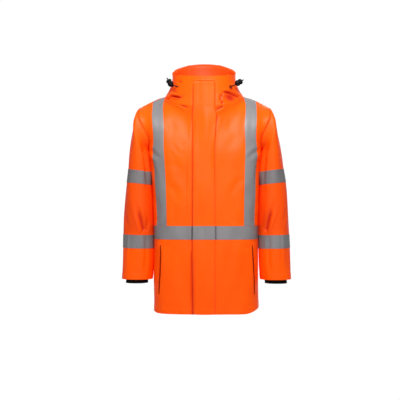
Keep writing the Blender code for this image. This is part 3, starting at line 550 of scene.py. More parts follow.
def swell(S, T, s0, t0, ws, wt, height):
    """A broad soft rise or dip."""
    return height * np.exp(-((S - s0) / ws) ** 2 - ((T - t0) / wt) ** 2)


def seam_valley(n_rows, n_cols, P, top=False, bottom=False, first=False, last=False, depth=0.0011,
                width=0.0030):
    """The cloth turns in where it is sewn."""
    out = np.zeros((n_rows, n_cols))
    row_len = np.concatenate([np.zeros((1, n_cols)), np.cumsum(np.linalg.norm(np.diff(P, axis=0), axis=2), axis=0)])
    col_len = np.concatenate([np.zeros((n_rows, 1)), np.cumsum(np.linalg.norm(np.diff(P, axis=1), axis=2), axis=1)], axis=1)
    for on, d in ((bottom, row_len), (top, row_len[-1:] - row_len), (first, col_len),
                  (last, col_len[:, -1:] - col_len)):
        if on:
            out -= depth * np.exp(-(d / width) ** 2)
    return out


def depth_share(total, full=0.0052, start=0.0014):
    """How deep a place lies, as a share of a full fold."""
    return ease((-total - start) / full)


class Sheet:
    """One cloth piece on a fine grid of its outer surface."""
    valley_shade = 1.0

    def __init__(self, name, P, closed=False, out=1.0, shade=None):
        self.name, self.P, self.closed, self.out = name, P, closed, out
        self.shade = np.zeros(P.shape[:2]) if shade is None else shade
        self.renew()

    def renew(self):
        self.N = normals(self.P, self.closed) * self.out

    def push(self, amount):
        self.P = self.P + self.N * amount[..., None]
        # painted shade where the cloth is pushed into a valley
        self.shade = np.maximum(self.shade, self.valley_shade * depth_share(amount, 0.0022, 0.0004))
        self.renew()


def shell_mesh(name, P, N, low, high, closed, flip, shade=None, inner=0.0):
    """A closed wall between two offsets of a grid, with its edge rows. shade is how deep each place
    lies in a fold, from 0 to 1, painted as shade on the cloth's colour; inner is painted shade on the inner face."""
    R, C = P.shape[:2]
    A, B = lean(P + N * low), lean(P + N * high)
    verts = np.concatenate([A.reshape(-1, 3), B.reshape(-1, 3)])
    cc = C if closed else C - 1
    r, c = np.meshgrid(np.arange(R - 1), np.arange(cc), indexing="ij")
    r, c = r.ravel(), c.ravel()
    d = (c + 1) % C
    quad = np.stack([r * C + c, r * C + d, (r + 1) * C + d, (r + 1) * C + c], -1)
    off = R * C
    faces = [quad + off, quad[:, ::-1]]
    c0 = np.arange(cc)
    c1 = (c0 + 1) % C
    faces.append(np.stack([c0, c1, off + c1, off + c0], -1))
    e = (R - 1) * C
    faces.append(np.stack([off + e + c0, off + e + c1, e + c1, e + c0], -1))
    if not closed:
        r0 = np.arange(R - 1)
        faces.append(np.stack([off + r0 * C, off + (r0 + 1) * C, (r0 + 1) * C, r0 * C], -1))
        faces.append(np.stack([r0 * C + C - 1, (r0 + 1) * C + C - 1, off + (r0 + 1) * C + C - 1,
                               off + r0 * C + C - 1], -1))
    faces = np.concatenate(faces)
    if flip:
        faces = faces[:, ::-1]
    mesh = bpy.data.meshes.new(name)
    mesh.from_pydata(verts.tolist(), [], faces.tolist())
    mesh.update()
    mesh.shade_smooth()
    mesh.set_sharp_from_angle(angle=math.radians(55))
    if shade is not None:
        # painted shade, as a point attribute that the cloth materials read
        layer = mesh.attributes.new("fold_depth", "FLOAT", "POINT")
        values = np.clip(np.concatenate([np.maximum(shade.ravel(), inner), shade.ravel()]), 0.0, 1.0)
        layer.data.foreach_set("value", values.astype(np.float32))
    return mesh


def put(name, mesh, mat, slot, *nodes):
    obj = bpy.data.objects.new(name, mesh)
    bpy.context.scene.collection.objects.link(obj)
    mesh.materials.append(mat)
    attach(obj, "root")
    if nodes:
        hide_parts(*nodes)
    return obj


# ------------------------------------------------------------ materials
def new_material(name):
    mat = bpy.data.materials.new(name)
    mat.use_nodes = True
    tree = mat.node_tree
    return mat, tree, tree.nodes["Principled BSDF"]


def noise_fac(tree, coord, scale, detail=2.0, rough=0.5, stretch=None):
    src = coord
    if stretch:
        mp = tree.nodes.new("ShaderNodeMapping")
        mp.inputs["Scale"].default_value = stretch
        tree.links.new(coord, mp.inputs["Vector"])
        src = mp.outputs["Vector"]
    n = tree.nodes.new("ShaderNodeTexNoise")
    n.inputs["Scale"].default_value = scale
    n.inputs["Detail"].default_value = detail
    n.inputs["Roughness"].default_value = rough
    tree.links.new(src, n.inputs["Vector"])
    return n.outputs["Fac"]


def ramp(tree, fac, lo, hi, a=0.35, b=0.65):
    r = tree.nodes.new("ShaderNodeValToRGB")
    r.color_ramp.elements[0].position, r.color_ramp.elements[0].color = a, (*lo, 1)
    r.color_ramp.elements[1].position, r.color_ramp.elements[1].color = b, (*hi, 1)
    tree.links.new(fac, r.inputs["Fac"])
    return r.outputs["Color"]


def bump(tree, layers):
    """Layers of (height, strength, distance), coarse first."""
    last = None
    for height, strength, distance in layers:
        b = tree.nodes.new("ShaderNodeBump")
        b.inputs["Strength"].default_value = strength
        b.inputs["Distance"].default_value = distance
        tree.links.new(height, b.inputs["Height"])
        if last is not None:
            tree.links.new(last, b.inputs["Normal"])
        last = b.outputs["Normal"]
    return last


def coated_cloth(name, deep, bright, painted_glow, rough, painted_shade_color, painted_shade_glow):
    """Fluorescent coated cloth: a close grain under a soft skin of coating; a constant painted glow stands in for its
    fluorescence and keeps it red in shade, and painted shade darkens it in its folds.
    """
    mat, tree, bsdf = new_material(name)
    coord = tree.nodes.new("ShaderNodeTexCoord").outputs["Object"]
    depth = tree.nodes.new("ShaderNodeAttribute")
    depth.attribute_type, depth.attribute_name = "GEOMETRY", "fold_depth"

    def mixed(a, b):
        mix = tree.nodes.new("ShaderNodeMix")
        mix.data_type, mix.clamp_factor = "RGBA", True
        tree.links.new(depth.outputs["Fac"], mix.inputs["Factor"])
        for value, port in ((a, 6), (b, 7)):
            if isinstance(value, tuple):
                mix.inputs[port].default_value = (*value, 1)
            else:
                tree.links.new(value, mix.inputs[port])
        return mix.outputs[2]

    soft = noise_fac(tree, coord, 9.0, 3.0, 0.55)
    # painted shade: colour and glow turn to the shade colours where the fold shade attribute is high
    tree.links.new(mixed(ramp(tree, soft, deep, bright, 0.30, 0.70), painted_shade_color), bsdf.inputs["Base Color"])
    tree.links.new(mixed(painted_glow, painted_shade_glow), bsdf.inputs["Emission Color"])
    grain = noise_fac(tree, coord, 1150.0, 2.0, 0.6)
    pebble = noise_fac(tree, coord, 420.0, 2.0, 0.5)
    limp = noise_fac(tree, coord, 21.0, 3.0, 0.5)
    tree.links.new(bump(tree, [(limp, 0.20, 0.005), (pebble, 0.10, 0.0004), (grain, 0.12, 0.0002)]),
                   bsdf.inputs["Normal"])
    bsdf.inputs["Roughness"].default_value = rough
    bsdf.inputs["Specular IOR Level"].default_value = 0.11
    bsdf.inputs["Emission Strength"].default_value = 1.0
    return mat


def band_cloth(name):
    """Grey retroreflective band: glass beads in a grey bond, faintly clouded, with painted shade in its folds."""
    mat, tree, bsdf = new_material(name)
    coord = tree.nodes.new("ShaderNodeTexCoord").outputs["Object"]
    cloud = noise_fac(tree, coord, 14.0, 2.0, 0.5)
    depth = tree.nodes.new("ShaderNodeAttribute")
    depth.attribute_type, depth.attribute_name = "GEOMETRY", "fold_depth"
    mix = tree.nodes.new("ShaderNodeMix")
    mix.data_type, mix.clamp_factor = "RGBA", True
    tree.links.new(depth.outputs["Fac"], mix.inputs["Factor"])
    tree.links.new(ramp(tree, cloud, (0.178, 0.168, 0.174), (0.200, 0.190, 0.196), 0.3, 0.7), mix.inputs[6])
    # painted shade colour where the band lies deep in a fold
    mix.inputs[7].default_value = (0.022, 0.014, 0.015, 1)
    tree.links.new(mix.outputs[2], bsdf.inputs["Base Color"])
    bead = tree.nodes.new("ShaderNodeTexVoronoi")
    bead.inputs["Scale"].default_value = 1500.0
    tree.links.new(coord, bead.inputs["Vector"])
    weave = noise_fac(tree, coord, 520.0, 2.0, 0.5)
    tree.links.new(bump(tree, [(weave, 0.10, 0.0004), (bead.outputs["Distance"], 0.18, 0.0002)]),
                   bsdf.inputs["Normal"])
    bsdf.inputs["Roughness"].default_value = 0.50
    bsdf.inputs["Metallic"].default_value = 0.15
    bsdf.inputs["Specular IOR Level"].default_value = 0.40
    return mat


def black_cloth(name, ribs=0.0):
    mat, tree, bsdf = new_material(name)
    coord = tree.nodes.new("ShaderNodeTexCoord").outputs["Object"]
    fac = noise_fac(tree, coord, 260.0, 3.0, 0.6)
    tree.links.new(ramp(tree, fac, (0.003, 0.003, 0.0035), (0.008, 0.008, 0.008)), bsdf.inputs["Base Color"])
    tree.links.new(bump(tree, [(fac, 0.35, 0.0006)]), bsdf.inputs["Normal"])
    bsdf.inputs["Roughness"].default_value = 0.85
    bsdf.inputs["Specular IOR Level"].default_value = 0.11
    return mat


def moulded(name, rough):
    mat, tree, bsdf = new_material(name)
    coord = tree.nodes.new("ShaderNodeTexCoord").outputs["Object"]
    fac = noise_fac(tree, coord, 600.0, 3.0, 0.6)
    tree.links.new(ramp(tree, fac, (0.004, 0.004, 0.0045), (0.008, 0.008, 0.009)), bsdf.inputs["Base Color"])
    tree.links.new(bump(tree, [(fac, 0.2, 0.0003)]), bsdf.inputs["Normal"])
    bsdf.inputs["Roughness"].default_value = rough
    bsdf.inputs["Specular IOR Level"].default_value = 0.1
    return mat


def thread(name, color, painted_glow=0.0):
    mat, tree, bsdf = new_material(name)
    coord = tree.nodes.new("ShaderNodeTexCoord").outputs["Object"]
    fac = noise_fac(tree, coord, 1800.0, 1.0, 0.5)
    dark = tuple(c * 0.78 for c in color)
    tree.links.new(ramp(tree, fac, dark, color), bsdf.inputs["Base Color"])
    bsdf.inputs["Roughness"].default_value = 0.6
    # painted glow: a constant red emission standing in for fluorescence
    bsdf.inputs["Emission Color"].default_value = (painted_glow, 0.0, 0.0, 1)
    bsdf.inputs["Emission Strength"].default_value = 1.0
    return mat


# orange cloth: tone varies at random between the first two colours; the third is a painted glow standing in for
# fluorescence; the last two are the painted shade colour and glow of its folds
ORANGE = coated_cloth("shell_cloth_orange", (0.58, 0.077, 0.0), (0.62, 0.089, 0.0), (0.34, 0.0015, 0.0), 0.46,
                      (0.34, 0.020, 0.004), (0.22, 0.0015, 0.001))
BAND = band_cloth("band_grey")
# pocket slit cloth: colours painted dark as the shade inside the slit
PAINTED_SHADE_CLOTH = coated_cloth("shell_cloth_shaded", (0.16, 0.006, 0.0), (0.20, 0.008, 0.0), (0.02, 0.0, 0.0), 0.7,
                    (0.10, 0.004, 0.0), (0.01, 0.0, 0.0))
CUFF_BLACK = black_cloth("cuff_black")
CORD_BLACK = black_cloth("cord_black")
PLASTIC = moulded("toggle_black", 0.50)
METAL = moulded("eyelet_black", 0.30)
# the orange thread carries a painted glow
THREAD_ORANGE = thread("thread_orange", (0.95, 0.092, 0.004), 0.42)
THREAD_GREY = thread("thread_grey", (0.20, 0.195, 0.20))

# ------------------------------------------------------------ stitches
STITCHES = {"orange": [], "grey": []}


def stitches(colour, P, N, pitch=0.0046, length=0.0031, width=0.00050, height=0.00026, sink=0.0002):
    """A run of stitches along a line of points already on the surface, in garment places."""
    P = lean(P)
    seg = np.linalg.norm(np.diff(P, axis=0), axis=1)
    run = np.concatenate([[0], np.cumsum(seg)])
    n = int(run[-1] / pitch)
    for i in range(n):
        a, b = i * pitch + 0.0006, i * pitch + 0.0006 + length
        if b > run[-1]:
            break
        pa, pb = (np.array([np.interp(q, run, P[:, k]) for k in range(3)]) for q in (a, b))
        nn = unit(np.array([np.interp((a + b) / 2, run, N[:, k]) for k in range(3)]))
        STITCHES[colour].append((pa, pb, nn, width, height, sink))


def build_stitches(colour, mat):
    items = STITCHES[colour]
    verts, faces = [], []
    for pa, pb, nn, w, h, sink in items:
        t = unit(pb - pa)
        s = np.cross(t, nn) * w / 2
        base = len(verts)
        lo, hi = nn * -sink, nn * h
        mid = (pa + pb) / 2
        verts += [pa + s + lo, pa - s + lo, pb - s + lo, pb + s + lo,
                  mid - (pb - pa) * 0.28 + s * 0.7 + hi, mid - (pb - pa) * 0.28 - s * 0.7 + hi,
                  mid + (pb - pa) * 0.28 - s * 0.7 + hi, mid + (pb - pa) * 0.28 + s * 0.7 + hi]
        for f in ((3, 2, 1, 0), (4, 5, 6, 7), (0, 1, 5, 4), (1, 2, 6, 5), (2, 3, 7, 6), (3, 0, 4, 7)):
            faces.append([base + i for i in f])
    mesh = bpy.data.meshes.new("stitching_" + colour)
    mesh.from_pydata([tuple(v) for v in verts], [], faces)
    bm = bmesh.new()
    bm.from_mesh(mesh)
    bmesh.ops.recalc_face_normals(bm, faces=bm.faces)
    bm.to_mesh(mesh)
    bm.free()
    return put("stitching_" + colour, mesh, mat, "shell_cloth" if colour == "orange" else "reflective_tape")


# ------------------------------------------------------------ body panels and their folds
F_R, RK, RF = body_grid(RIGHT_COLS, -1, -1)       # wearer's right front, built on the left
F_L, LK, LF = body_grid(LEFT_COLS, -1, 1)
B_HR, BK, BF = body_grid(BACK_COLS, 1, -1)
B_HL, BK, BF = body_grid(BACK_COLS, 1, 1)

# folds: points (out from the middle, height), width, depth, ends, kind
FRONT_RIGHT_FOLDS = [
    ([(FLAP_FREE + 0.0012, -0.070), (FLAP_FREE + 0.0018, -0.360), (FLAP_FREE + 0.0010, -0.805)],
     0.0040, 0.0034, (0.05, 0.0), "trough"),
    ([(FLAP_FREE + 0.0016, -0.560), (FLAP_FREE + 0.0012, -0.690), (FLAP_FREE + 0.0016, -0.775)],
     0.0040, 0.0026, (0.15, 0.15), "trough"),
    ([(0.1000, -0.026), (0.080, -0.040), (0.060, -0.052)], 0.0046, 0.0034, (0.3, 0.3), "trough"),
    ([(0.140, -0.080), (0.118, -0.122), (0.104, -0.160)], 0.0150, 0.0013, (0.5, 0.5), "trough"),
    ([(0.104, -0.150), (0.086, -0.186), (0.074, -0.236)], 0.0130, 0.0010, (0.5, 0.5), "trough"),
    ([(0.146, -0.238), (0.116, -0.268), (0.082, -0.330)], 0.0140, 0.0017, (0.3, 0.5), "trough"),
    ([(0.140, -0.330), (0.112, -0.352), (0.092, -0.410)], 0.0130, 0.0020, (0.4, 0.5), "trough"),
    ([(0.204, -0.200), (0.186, -0.222), (0.158, -0.240)], 0.0080, 0.0030, (0.1, 0.6), "trough"),
    ([(0.202, -0.232), (0.190, -0.280), (0.178, -0.340)], 0.0080, 0.0026, (0.1, 0.6), "trough"),
    ([(0.120, -0.478), (0.112, -0.440), (0.118, -0.390)], 0.0110, 0.0018, (0.1, 0.6), "trough"),
    ([(0.184, -0.478), (0.176, -0.425), (0.184, -0.360)], 0.0100, 0.0026, (0.1, 0.6), "trough"),
    ([(0.124, -0.170), (0.098, -0.214), (0.070, -0.226)], 0.0068, 0.0012, (0.5, 0.5), "trough"),
    ([(0.120, -0.205), (0.104, -0.262), (0.064, -0.300)], 0.0110, 0.0016, (0.4, 0.5), "trough"),
    ([(0.140, -0.545), (0.132, -0.610), (0.138, -0.700)], 0.0150, 0.0022, (0.1, 0.6), "trough"),
    ([(0.095, -0.550), (0.088, -0.645), (0.098, -0.770)], 0.0170, 0.0018, (0.2, 0.5), "trough"),
]
FRONT_LEFT_FOLDS = [
    ([(FLAP_SEAM + 0.0016, -0.050), (FLAP_SEAM + 0.0016, -0.805)], 0.0024, 0.0022, (0.02, 0.0), "trough"),
    ([(0.0345, -0.057), (0.050, -0.050), (0.068, -0.041)], 0.0050, 0.0034, (0.3, 0.1), "trough"),
    ([(0.046, -0.066), (0.040, -0.092), (0.037, -0.128)], 0.0070, 0.0026, (0.3, 0.5), "trough"),
    ([(0.112, -0.078), (0.088, -0.124), (0.056, -0.150)], 0.0150, 0.0014, (0.4, 0.6), "trough"),
    ([(0.132, -0.120), (0.112, -0.176), (0.074, -0.214)], 0.0160, 0.0012, (0.4, 0.6), "trough"),
    ([(0.204, -0.202), (0.180, -0.218), (0.150, -0.246)], 0.0080, 0.0030, (0.1, 0.6), "trough"),
    ([(0.202, -0.232), (0.192, -0.286), (0.184, -0.352)], 0.0080, 0.0026, (0.1, 0.6), "trough"),
    ([(0.142, -0.300), (0.118, -0.330), (0.086, -0.390)], 0.0130, 0.0020, (0.3, 0.6), "trough"),
    ([(0.106, -0.478), (0.100, -0.420), (0.108, -0.360)], 0.0120, 0.0016, (0.1, 0.6), "trough"),
    ([(0.184, -0.478), (0.178, -0.436), (0.188, -0.370)], 0.0100, 0.0024, (0.1, 0.6), "trough"),
    ([(0.150, -0.545), (0.142, -0.620), (0.150, -0.730)], 0.0160, 0.0022, (0.1, 0.5), "trough"),
    ([(0.080, -0.550), (0.086, -0.630), (0.078, -0.740)], 0.0160, 0.0016, (0.2, 0.6), "trough"),
]
BACK_FOLDS_R = [
    ([(0.208, -0.200), (0.176, -0.222), (0.130, -0.252), (0.086, -0.262)], 0.0110, 0.0052, (0.1, 0.5), "trough"),
    ([(0.205, -0.232), (0.172, -0.286), (0.148, -0.350)], 0.0110, 0.0044, (0.1, 0.6), "trough"),
    ([(0.212, -0.150), (0.180, -0.158), (0.150, -0.182)], 0.0090, 0.0026, (0.1, 0.6), "trough"),
    ([(0.060, -0.468), (0.052, -0.400), (0.060, -0.320)], 0.0140, 0.0022, (0.1, 0.6), "trough"),
    ([(0.170, -0.468), (0.160, -0.420), (0.168, -0.350)], 0.0120, 0.0026, (0.1, 0.6), "trough"),
    ([(0.120, -0.545), (0.112, -0.630), (0.122, -0.770)], 0.0170, 0.0042, (0.1, 0.5), "trough"),
    ([(0.040, -0.550), (0.048, -0.660), (0.040, -0.790)], 0.0180, 0.0022, (0.2, 0.3), "trough"),
    ([(0.186, -0.560), (0.176, -0.640), (0.182, -0.740)], 0.0140, 0.0024, (0.2, 0.5), "trough"),
]
BACK_FOLDS_L = [
    ([(0.208, -0.206), (0.170, -0.238), (0.118, -0.246), (0.070, -0.236)], 0.0105, 0.0048, (0.1, 0.6), "trough"),
    ([(0.205, -0.240), (0.180, -0.300), (0.164, -0.372)], 0.0120, 0.0044, (0.1, 0.6), "trough"),
    ([(0.214, -0.140), (0.186, -0.150), (0.162, -0.170)], 0.0085, 0.0024, (0.1, 0.6), "trough"),
    ([(0.085, -0.468), (0.090, -0.410), (0.082, -0.350)], 0.0130, 0.0020, (0.1, 0.6), "trough"),
    ([(0.180, -0.468), (0.172, -0.404), (0.178, -0.330)], 0.0110, 0.0024, (0.1, 0.6), "trough"),
    ([(0.150, -0.545), (0.140, -0.640), (0.146, -0.740)], 0.0160, 0.0040, (0.1, 0.6), "trough"),
    ([(0.085, -0.560), (0.078, -0.680), (0.090, -0.795)], 0.0190, 0.0020, (0.3, 0.2), "trough"),
]


def folded(P, out, folds, extra=None, keep=None, painted_flap_shade=None):
    S, T = np.abs(P[..., 0]), P[..., 2]
    total, sharp = np.zeros(S.shape), np.zeros(S.shape)
    for pts, w, d, ends, kind in folds:
        one = fold(S, T, pts, w, d, ends, kind)
        total += one
        if w < 0.0072:
            sharp += one
    if extra is not None:
        total += extra(S, T)
    if keep is not None:
        total *= keep
        sharp *= keep
    beside = (1 - ease((np.abs(P[..., 1]) - 0.035) / 0.035)) * ease((T + 0.66) / 0.05) * ease((-0.195 - T) / 0.02)
    total = total * (1 - beside) + (0.0004 + 0.0016 * ease((T + 0.29) / 0.05)) * beside * (keep if keep is not None else 1.0)
    N = normals(P) * out
    # the second value is painted shade: darker in the narrow folds and beside the flap's edge
    return P + N * total[..., None], np.maximum(depth_share(sharp, 0.0034, 0.0004), 0.0 if painted_flap_shade is None else painted_flap_shade(S, T))


def edge_keep(n_rows, n_cols, first=0, last=0):
    """Folds die away in the last few columns before an edge that another piece shares."""
    k = np.ones((n_rows, n_cols))
    if first:
        k *= ease(np.arange(n_cols) / first)[None]
    if last:
        k *= ease((n_cols - 1 - np.arange(n_cols)) / last)[None]
    return k


def soften(S, T):
    """Uneven hang of a limp coated cloth, a little deeper towards the hem."""
    low = ease((-0.30 - T) / 0.5)
    return (0.0011 * np.sin(41 * S + 7.0 * T + 0.6) * np.cos(9 * T - 13 * S)
            + 0.0016 * low * np.sin(34 * S + 2.2 * np.sin(6 * T))
            + 0.0006 * np.sin(88 * S - 31 * T + 1.3))


R_body = len(ROW_K)
keep_front = edge_keep(R_body, F_R.shape[1], 0, 3)
# painted shade on the front right: a dark line beside the flap's free edge and a wider band below the waist
F_R, D_FR = folded(F_R, 1.0, FRONT_RIGHT_FOLDS, soften, keep_front,
                   lambda S, T: np.maximum(
                       0.45 * (1 - ease((S - FLAP_FREE - 0.002) / 0.014)) * ease((-0.56 - T) / 0.08),
                       0.9 * (1 - ease((S - FLAP_FREE - 0.0015) / 0.0035))))
F_L, D_FL = folded(F_L, 1.0, FRONT_LEFT_FOLDS, lambda S, T: soften(S + 0.21, T + 0.13),
             edge_keep(R_body, F_L.shape[1], 0, 3))
B_L, D_BL = folded(B_HL, -1.0, BACK_FOLDS_L, lambda S, T: 1.4 * soften(S + 0.4, T), edge_keep(R_body, B_HL.shape[1], 0, 3))
B_R, D_BR = folded(B_HR, -1.0, BACK_FOLDS_R, lambda S, T: 1.4 * soften(-S + 0.4, T), edge_keep(R_body, B_HL.shape[1], 0, 3))
B_R[:, 0] = B_L[:, 0] = (B_R[:, 0] + B_L[:, 0]) / 2
back_P = np.concatenate([mirror(B_R)[:, ::-1], B_L[:, 1:]], axis=1)

front_right = Sheet("front_right", mirror(F_R), out=-1.0, shade=D_FR)
front_left = Sheet("front_left", F_L, out=1.0, shade=D_FL)
back = Sheet("back", back_P, out=-1.0, shade=np.concatenate([D_BR[:, ::-1], D_BL[:, 1:]], axis=1))

# sleeves: places are round from the shoulder line (front first) and height
SLEEVE_RIGHT_FOLDS = [
    ([(0.117, -0.392), (0.132, -0.440), (0.160, -0.510)], 0.0100, 0.0088, (0.6, 0.08), "trough"),
    ([(0.200, -0.452), (0.184, -0.482), (0.164, -0.512)], 0.0095, 0.0030, (0.5, 0.2), "trough"),
    ([(0.240, -0.475), (0.222, -0.500), (0.204, -0.515)], 0.0060, 0.0040, (0.3, 0.2), "trough"),
    ([(0.182, -0.190), (0.184, -0.262), (0.180, -0.380)], 0.0120, 0.0056, (0.15, 0.6), "trough"),
    ([(0.150, -0.130), (0.158, -0.200), (0.166, -0.300)], 0.0120, 0.0022, (0.4, 0.5), "ridge"),
    ([(0.077, -0.500), (0.078, -0.560), (0.074, -0.650)], 0.0075, 0.0026, (0.3, 0.4), "ridge"),
    ([(0.168, -0.515), (0.172, -0.580), (0.168, -0.680)], 0.0110, 0.0030, (0.2, 0.3), "trough"),
    ([(0.030, -0.420), (0.055, -0.470), (0.088, -0.500)], 0.0110, 0.0020, (0.5, 0.4), "trough"),
    ([(0.330, -0.380), (0.372, -0.430), (0.410, -0.452)], 0.0100, 0.0052, (0.3, 0.4), "trough"),
    ([(0.318, -0.430), (0.360, -0.468), (0.416, -0.478)], 0.0090, 0.0046, (0.3, 0.4), "trough"),
    ([(0.330, -0.500), (0.375, -0.492), (0.420, -0.500)], 0.0080, 0.0034, (0.3, 0.4), "trough"),
    ([(0.300, -0.240), (0.318, -0.290), (0.330, -0.350)], 0.0110, 0.0036, (0.2, 0.6), "trough"),
    ([(0.360, -0.590), (0.372, -0.640), (0.362, -0.688)], 0.0120, 0.0026, (0.4, 0.1), "trough"),
]
SLEEVE_LEFT_FOLDS = [
    ([(0.122, -0.388), (0.142, -0.438), (0.174, -0.510)], 0.0105, 0.0090, (0.6, 0.08), "trough"),
    ([(0.208, -0.456), (0.194, -0.486), (0.178, -0.512)], 0.0095, 0.0030, (0.5, 0.2), "trough"),
    ([(0.246, -0.470), (0.230, -0.492), (0.214, -0.512)], 0.0060, 0.0034, (0.3, 0.3), "trough"),
    ([(0.186, -0.190), (0.188, -0.270), (0.184, -0.392)], 0.0125, 0.0056, (0.15, 0.6), "trough"),
    ([(0.148, -0.140), (0.154, -0.210), (0.162, -0.310)], 0.0120, 0.0022, (0.4, 0.5), "ridge"),
    ([(0.084, -0.500), (0.083, -0.570), (0.078, -0.660)], 0.0075, 0.0028, (0.3, 0.4), "ridge"),
    ([(0.152, -0.515), (0.156, -0.590), (0.150, -0.680)], 0.0100, 0.0028, (0.2, 0.3), "trough"),
    ([(0.040, -0.400), (0.066, -0.455), (0.100, -0.490)], 0.0110, 0.0018, (0.5, 0.4), "trough"),
    ([(0.336, -0.395), (0.366, -0.440), (0.402, -0.470)], 0.0100, 0.0050, (0.3, 0.4), "trough"),
    ([(0.310, -0.452), (0.352, -0.480), (0.410, -0.486)], 0.0090, 0.0042, (0.3, 0.4), "trough"),
    ([(0.336, -0.350), (0.386, -0.398), (0.424, -0.412)], 0.0090, 0.0036, (0.4, 0.4), "trough"),
    ([(0.304, -0.250), (0.322, -0.300), (0.340, -0.372)], 0.0110, 0.0032, (0.2, 0.6), "trough"),
    ([(0.300, -0.580), (0.312, -0.630), (0.306, -0.688)], 0.0120, 0.0026, (0.4, 0.1), "trough"),
]
SLV, SK, SF, SA = sleeve_fine()
SLEEVE_R = 0.080


def folded_sleeve(folds, phase):
    P = SLV
    S = np.broadcast_to(SA[None] * SLEEVE_R, P.shape[:2])
    T = P[..., 2]
    total, sharp = np.zeros(S.shape), np.zeros(S.shape)
    for pts, w, d, ends, kind in folds:
        one = fold(S, T, pts, w, d, ends, kind, wrap=2 * math.pi * SLEEVE_R)
        total += one
        if d > 0.0060:
            sharp += one
    total += swell(S, T, 0.172 if phase > 1 else 0.178, -0.484, 0.015, 0.026, -0.0050)
    total += swell(S, T, 0.168, -0.246, 0.020, 0.050, -0.0032)
    total += 0.0012 * np.sin(3 * SA + phase)[None] * np.sin(14 * T + phase) + \
        0.0008 * np.sin(5 * SA[None] + 21 * T + 2 * phase)
    at = (SK + SF)[:, None]
    total = total * ease((at - 0.2) / 2.0)
    # cap ease: faint puckers where the sleeve is set in, over the shoulder
    cap = np.exp(-((at - 0.9) / 0.8) ** 2) * ease((np.cos(SA)[None] + 0.2) / 0.8)
    total = total + 0.0006 * cap * np.sin(SA[None] * 46 + 1.7 * np.sin(SA[None] * 9 + phase))
    # the side that lies against the body keeps flat
    against = ease((-np.cos(SA) - 0.55) / 0.35)[None] * ease((T + 0.62) / 0.06)
    total = total * (1 - against) + 0.0010 * against * ease((at - 2.0) / 2.0)
    pit = ease((-np.cos(SA) - 0.70) / 0.25)[None] * ease((at - 0.3) / 0.8) * ease((-0.34 - T) / -0.06)
    total = total + 0.0070 * pit
    N = normals(P, True)
    # painted shade: the deep folds, the sleeve from below the shoulder down to the lower band, and its inner side
    # towards the body are painted darker
    upper = 0.34 * ease((T + 0.545) / 0.05) * ease((-0.14 - T) / 0.12) * (0.75 + 0.25 * np.sin(9 * S + 12 * T))
    inner = 0.16 * ease((-np.cos(SA) - 0.1) / 0.5)[None] * ease((T + 0.60) / 0.08) * ease((-0.12 - T) / 0.1)
    return P + N * total[..., None], np.clip(np.maximum(depth_share(sharp, 0.0070, 0.0010), upper) + inner, 0, 1)


(SL_L, D_SL), (SL_R, D_SR) = folded_sleeve(SLEEVE_LEFT_FOLDS, 0.4), folded_sleeve(SLEEVE_RIGHT_FOLDS, 2.1)
sleeve_left = Sheet("sleeve_left", SL_L, closed=True, out=1.0, shade=D_SL)
sleeve_right = Sheet("sleeve_right", mirror(SL_R), closed=True, out=-1.0, shade=D_SR)

# ------------------------------------------------------------ hood
HF_R, _ = hood_half(RIGHT_COLS, -1, RK, RF)
HF_L, _ = hood_half(LEFT_COLS, -1, LK, LF)
HB, _ = hood_half(BACK_COLS, 1, BK, BF)
SPLIT = 2
split_at = int(np.argmax(BK + BF >= SPLIT))
side_R = np.concatenate([HF_R, HB[:, split_at:-1][:, ::-1]], axis=1)
side_L = np.concatenate([HF_L, HB[:, split_at:-1][:, ::-1]], axis=1)
centre_P = np.concatenate([mirror(HB[:, :split_at + 1])[:, ::-1], HB[:, 1:split_at + 1]], axis=1)

HOOD_FOLDS_R = [
    ([(0.1440, -0.010), (0.1180, 0.0015), (0.0980, -0.006), (0.084, -0.008)], 0.0036, 0.0072, (0.12, 0.25), "trough"),
    ([(0.124, 0.030), (0.110, 0.018), (0.098, 0.012)], 0.0070, 0.0030, (0.4, 0.4), "trough"),
    ([(0.098, 0.060), (0.092, 0.052), (0.088, 0.042)], 0.0050, 0.0026, (0.4, 0.4), "trough"),
    ([(FLAP_FREE + 0.0012, -0.060), (FLAP_FREE + 0.0010, 0.044)], 0.0034, 0.0020, (0.0, 0.05), "trough"),
    ([(0.000, 0.0500), (FLAP_FREE, 0.0490)], 0.0026, 0.0014, (0.0, 0.1), "trough"),
]
HOOD_FOLDS_L = [
    ([(0.062, 0.013), (0.082, 0.011), (0.104, 0.008), (0.1360, -0.003)], 0.0040, 0.0074, (0.25, 0.10), "trough"),
    ([(0.064, 0.014), (0.055, -0.013), (0.067, -0.040)], 0.0042, 0.0046, (0.3, 0.2), "trough"),
    ([(0.118, 0.036), (0.104, 0.024), (0.092, 0.018)], 0.0070, 0.0026, (0.4, 0.4), "trough"),
    ([(FLAP_SEAM + 0.0018, -0.060), (FLAP_SEAM + 0.0016, 0.044)], 0.0026, 0.0020, (0.0, 0.05), "trough"),
    ([(0.000, 0.0500), (FLAP_SEAM, 0.0495)], 0.0026, 0.0014, (0.0, 0.1), "trough"),
]


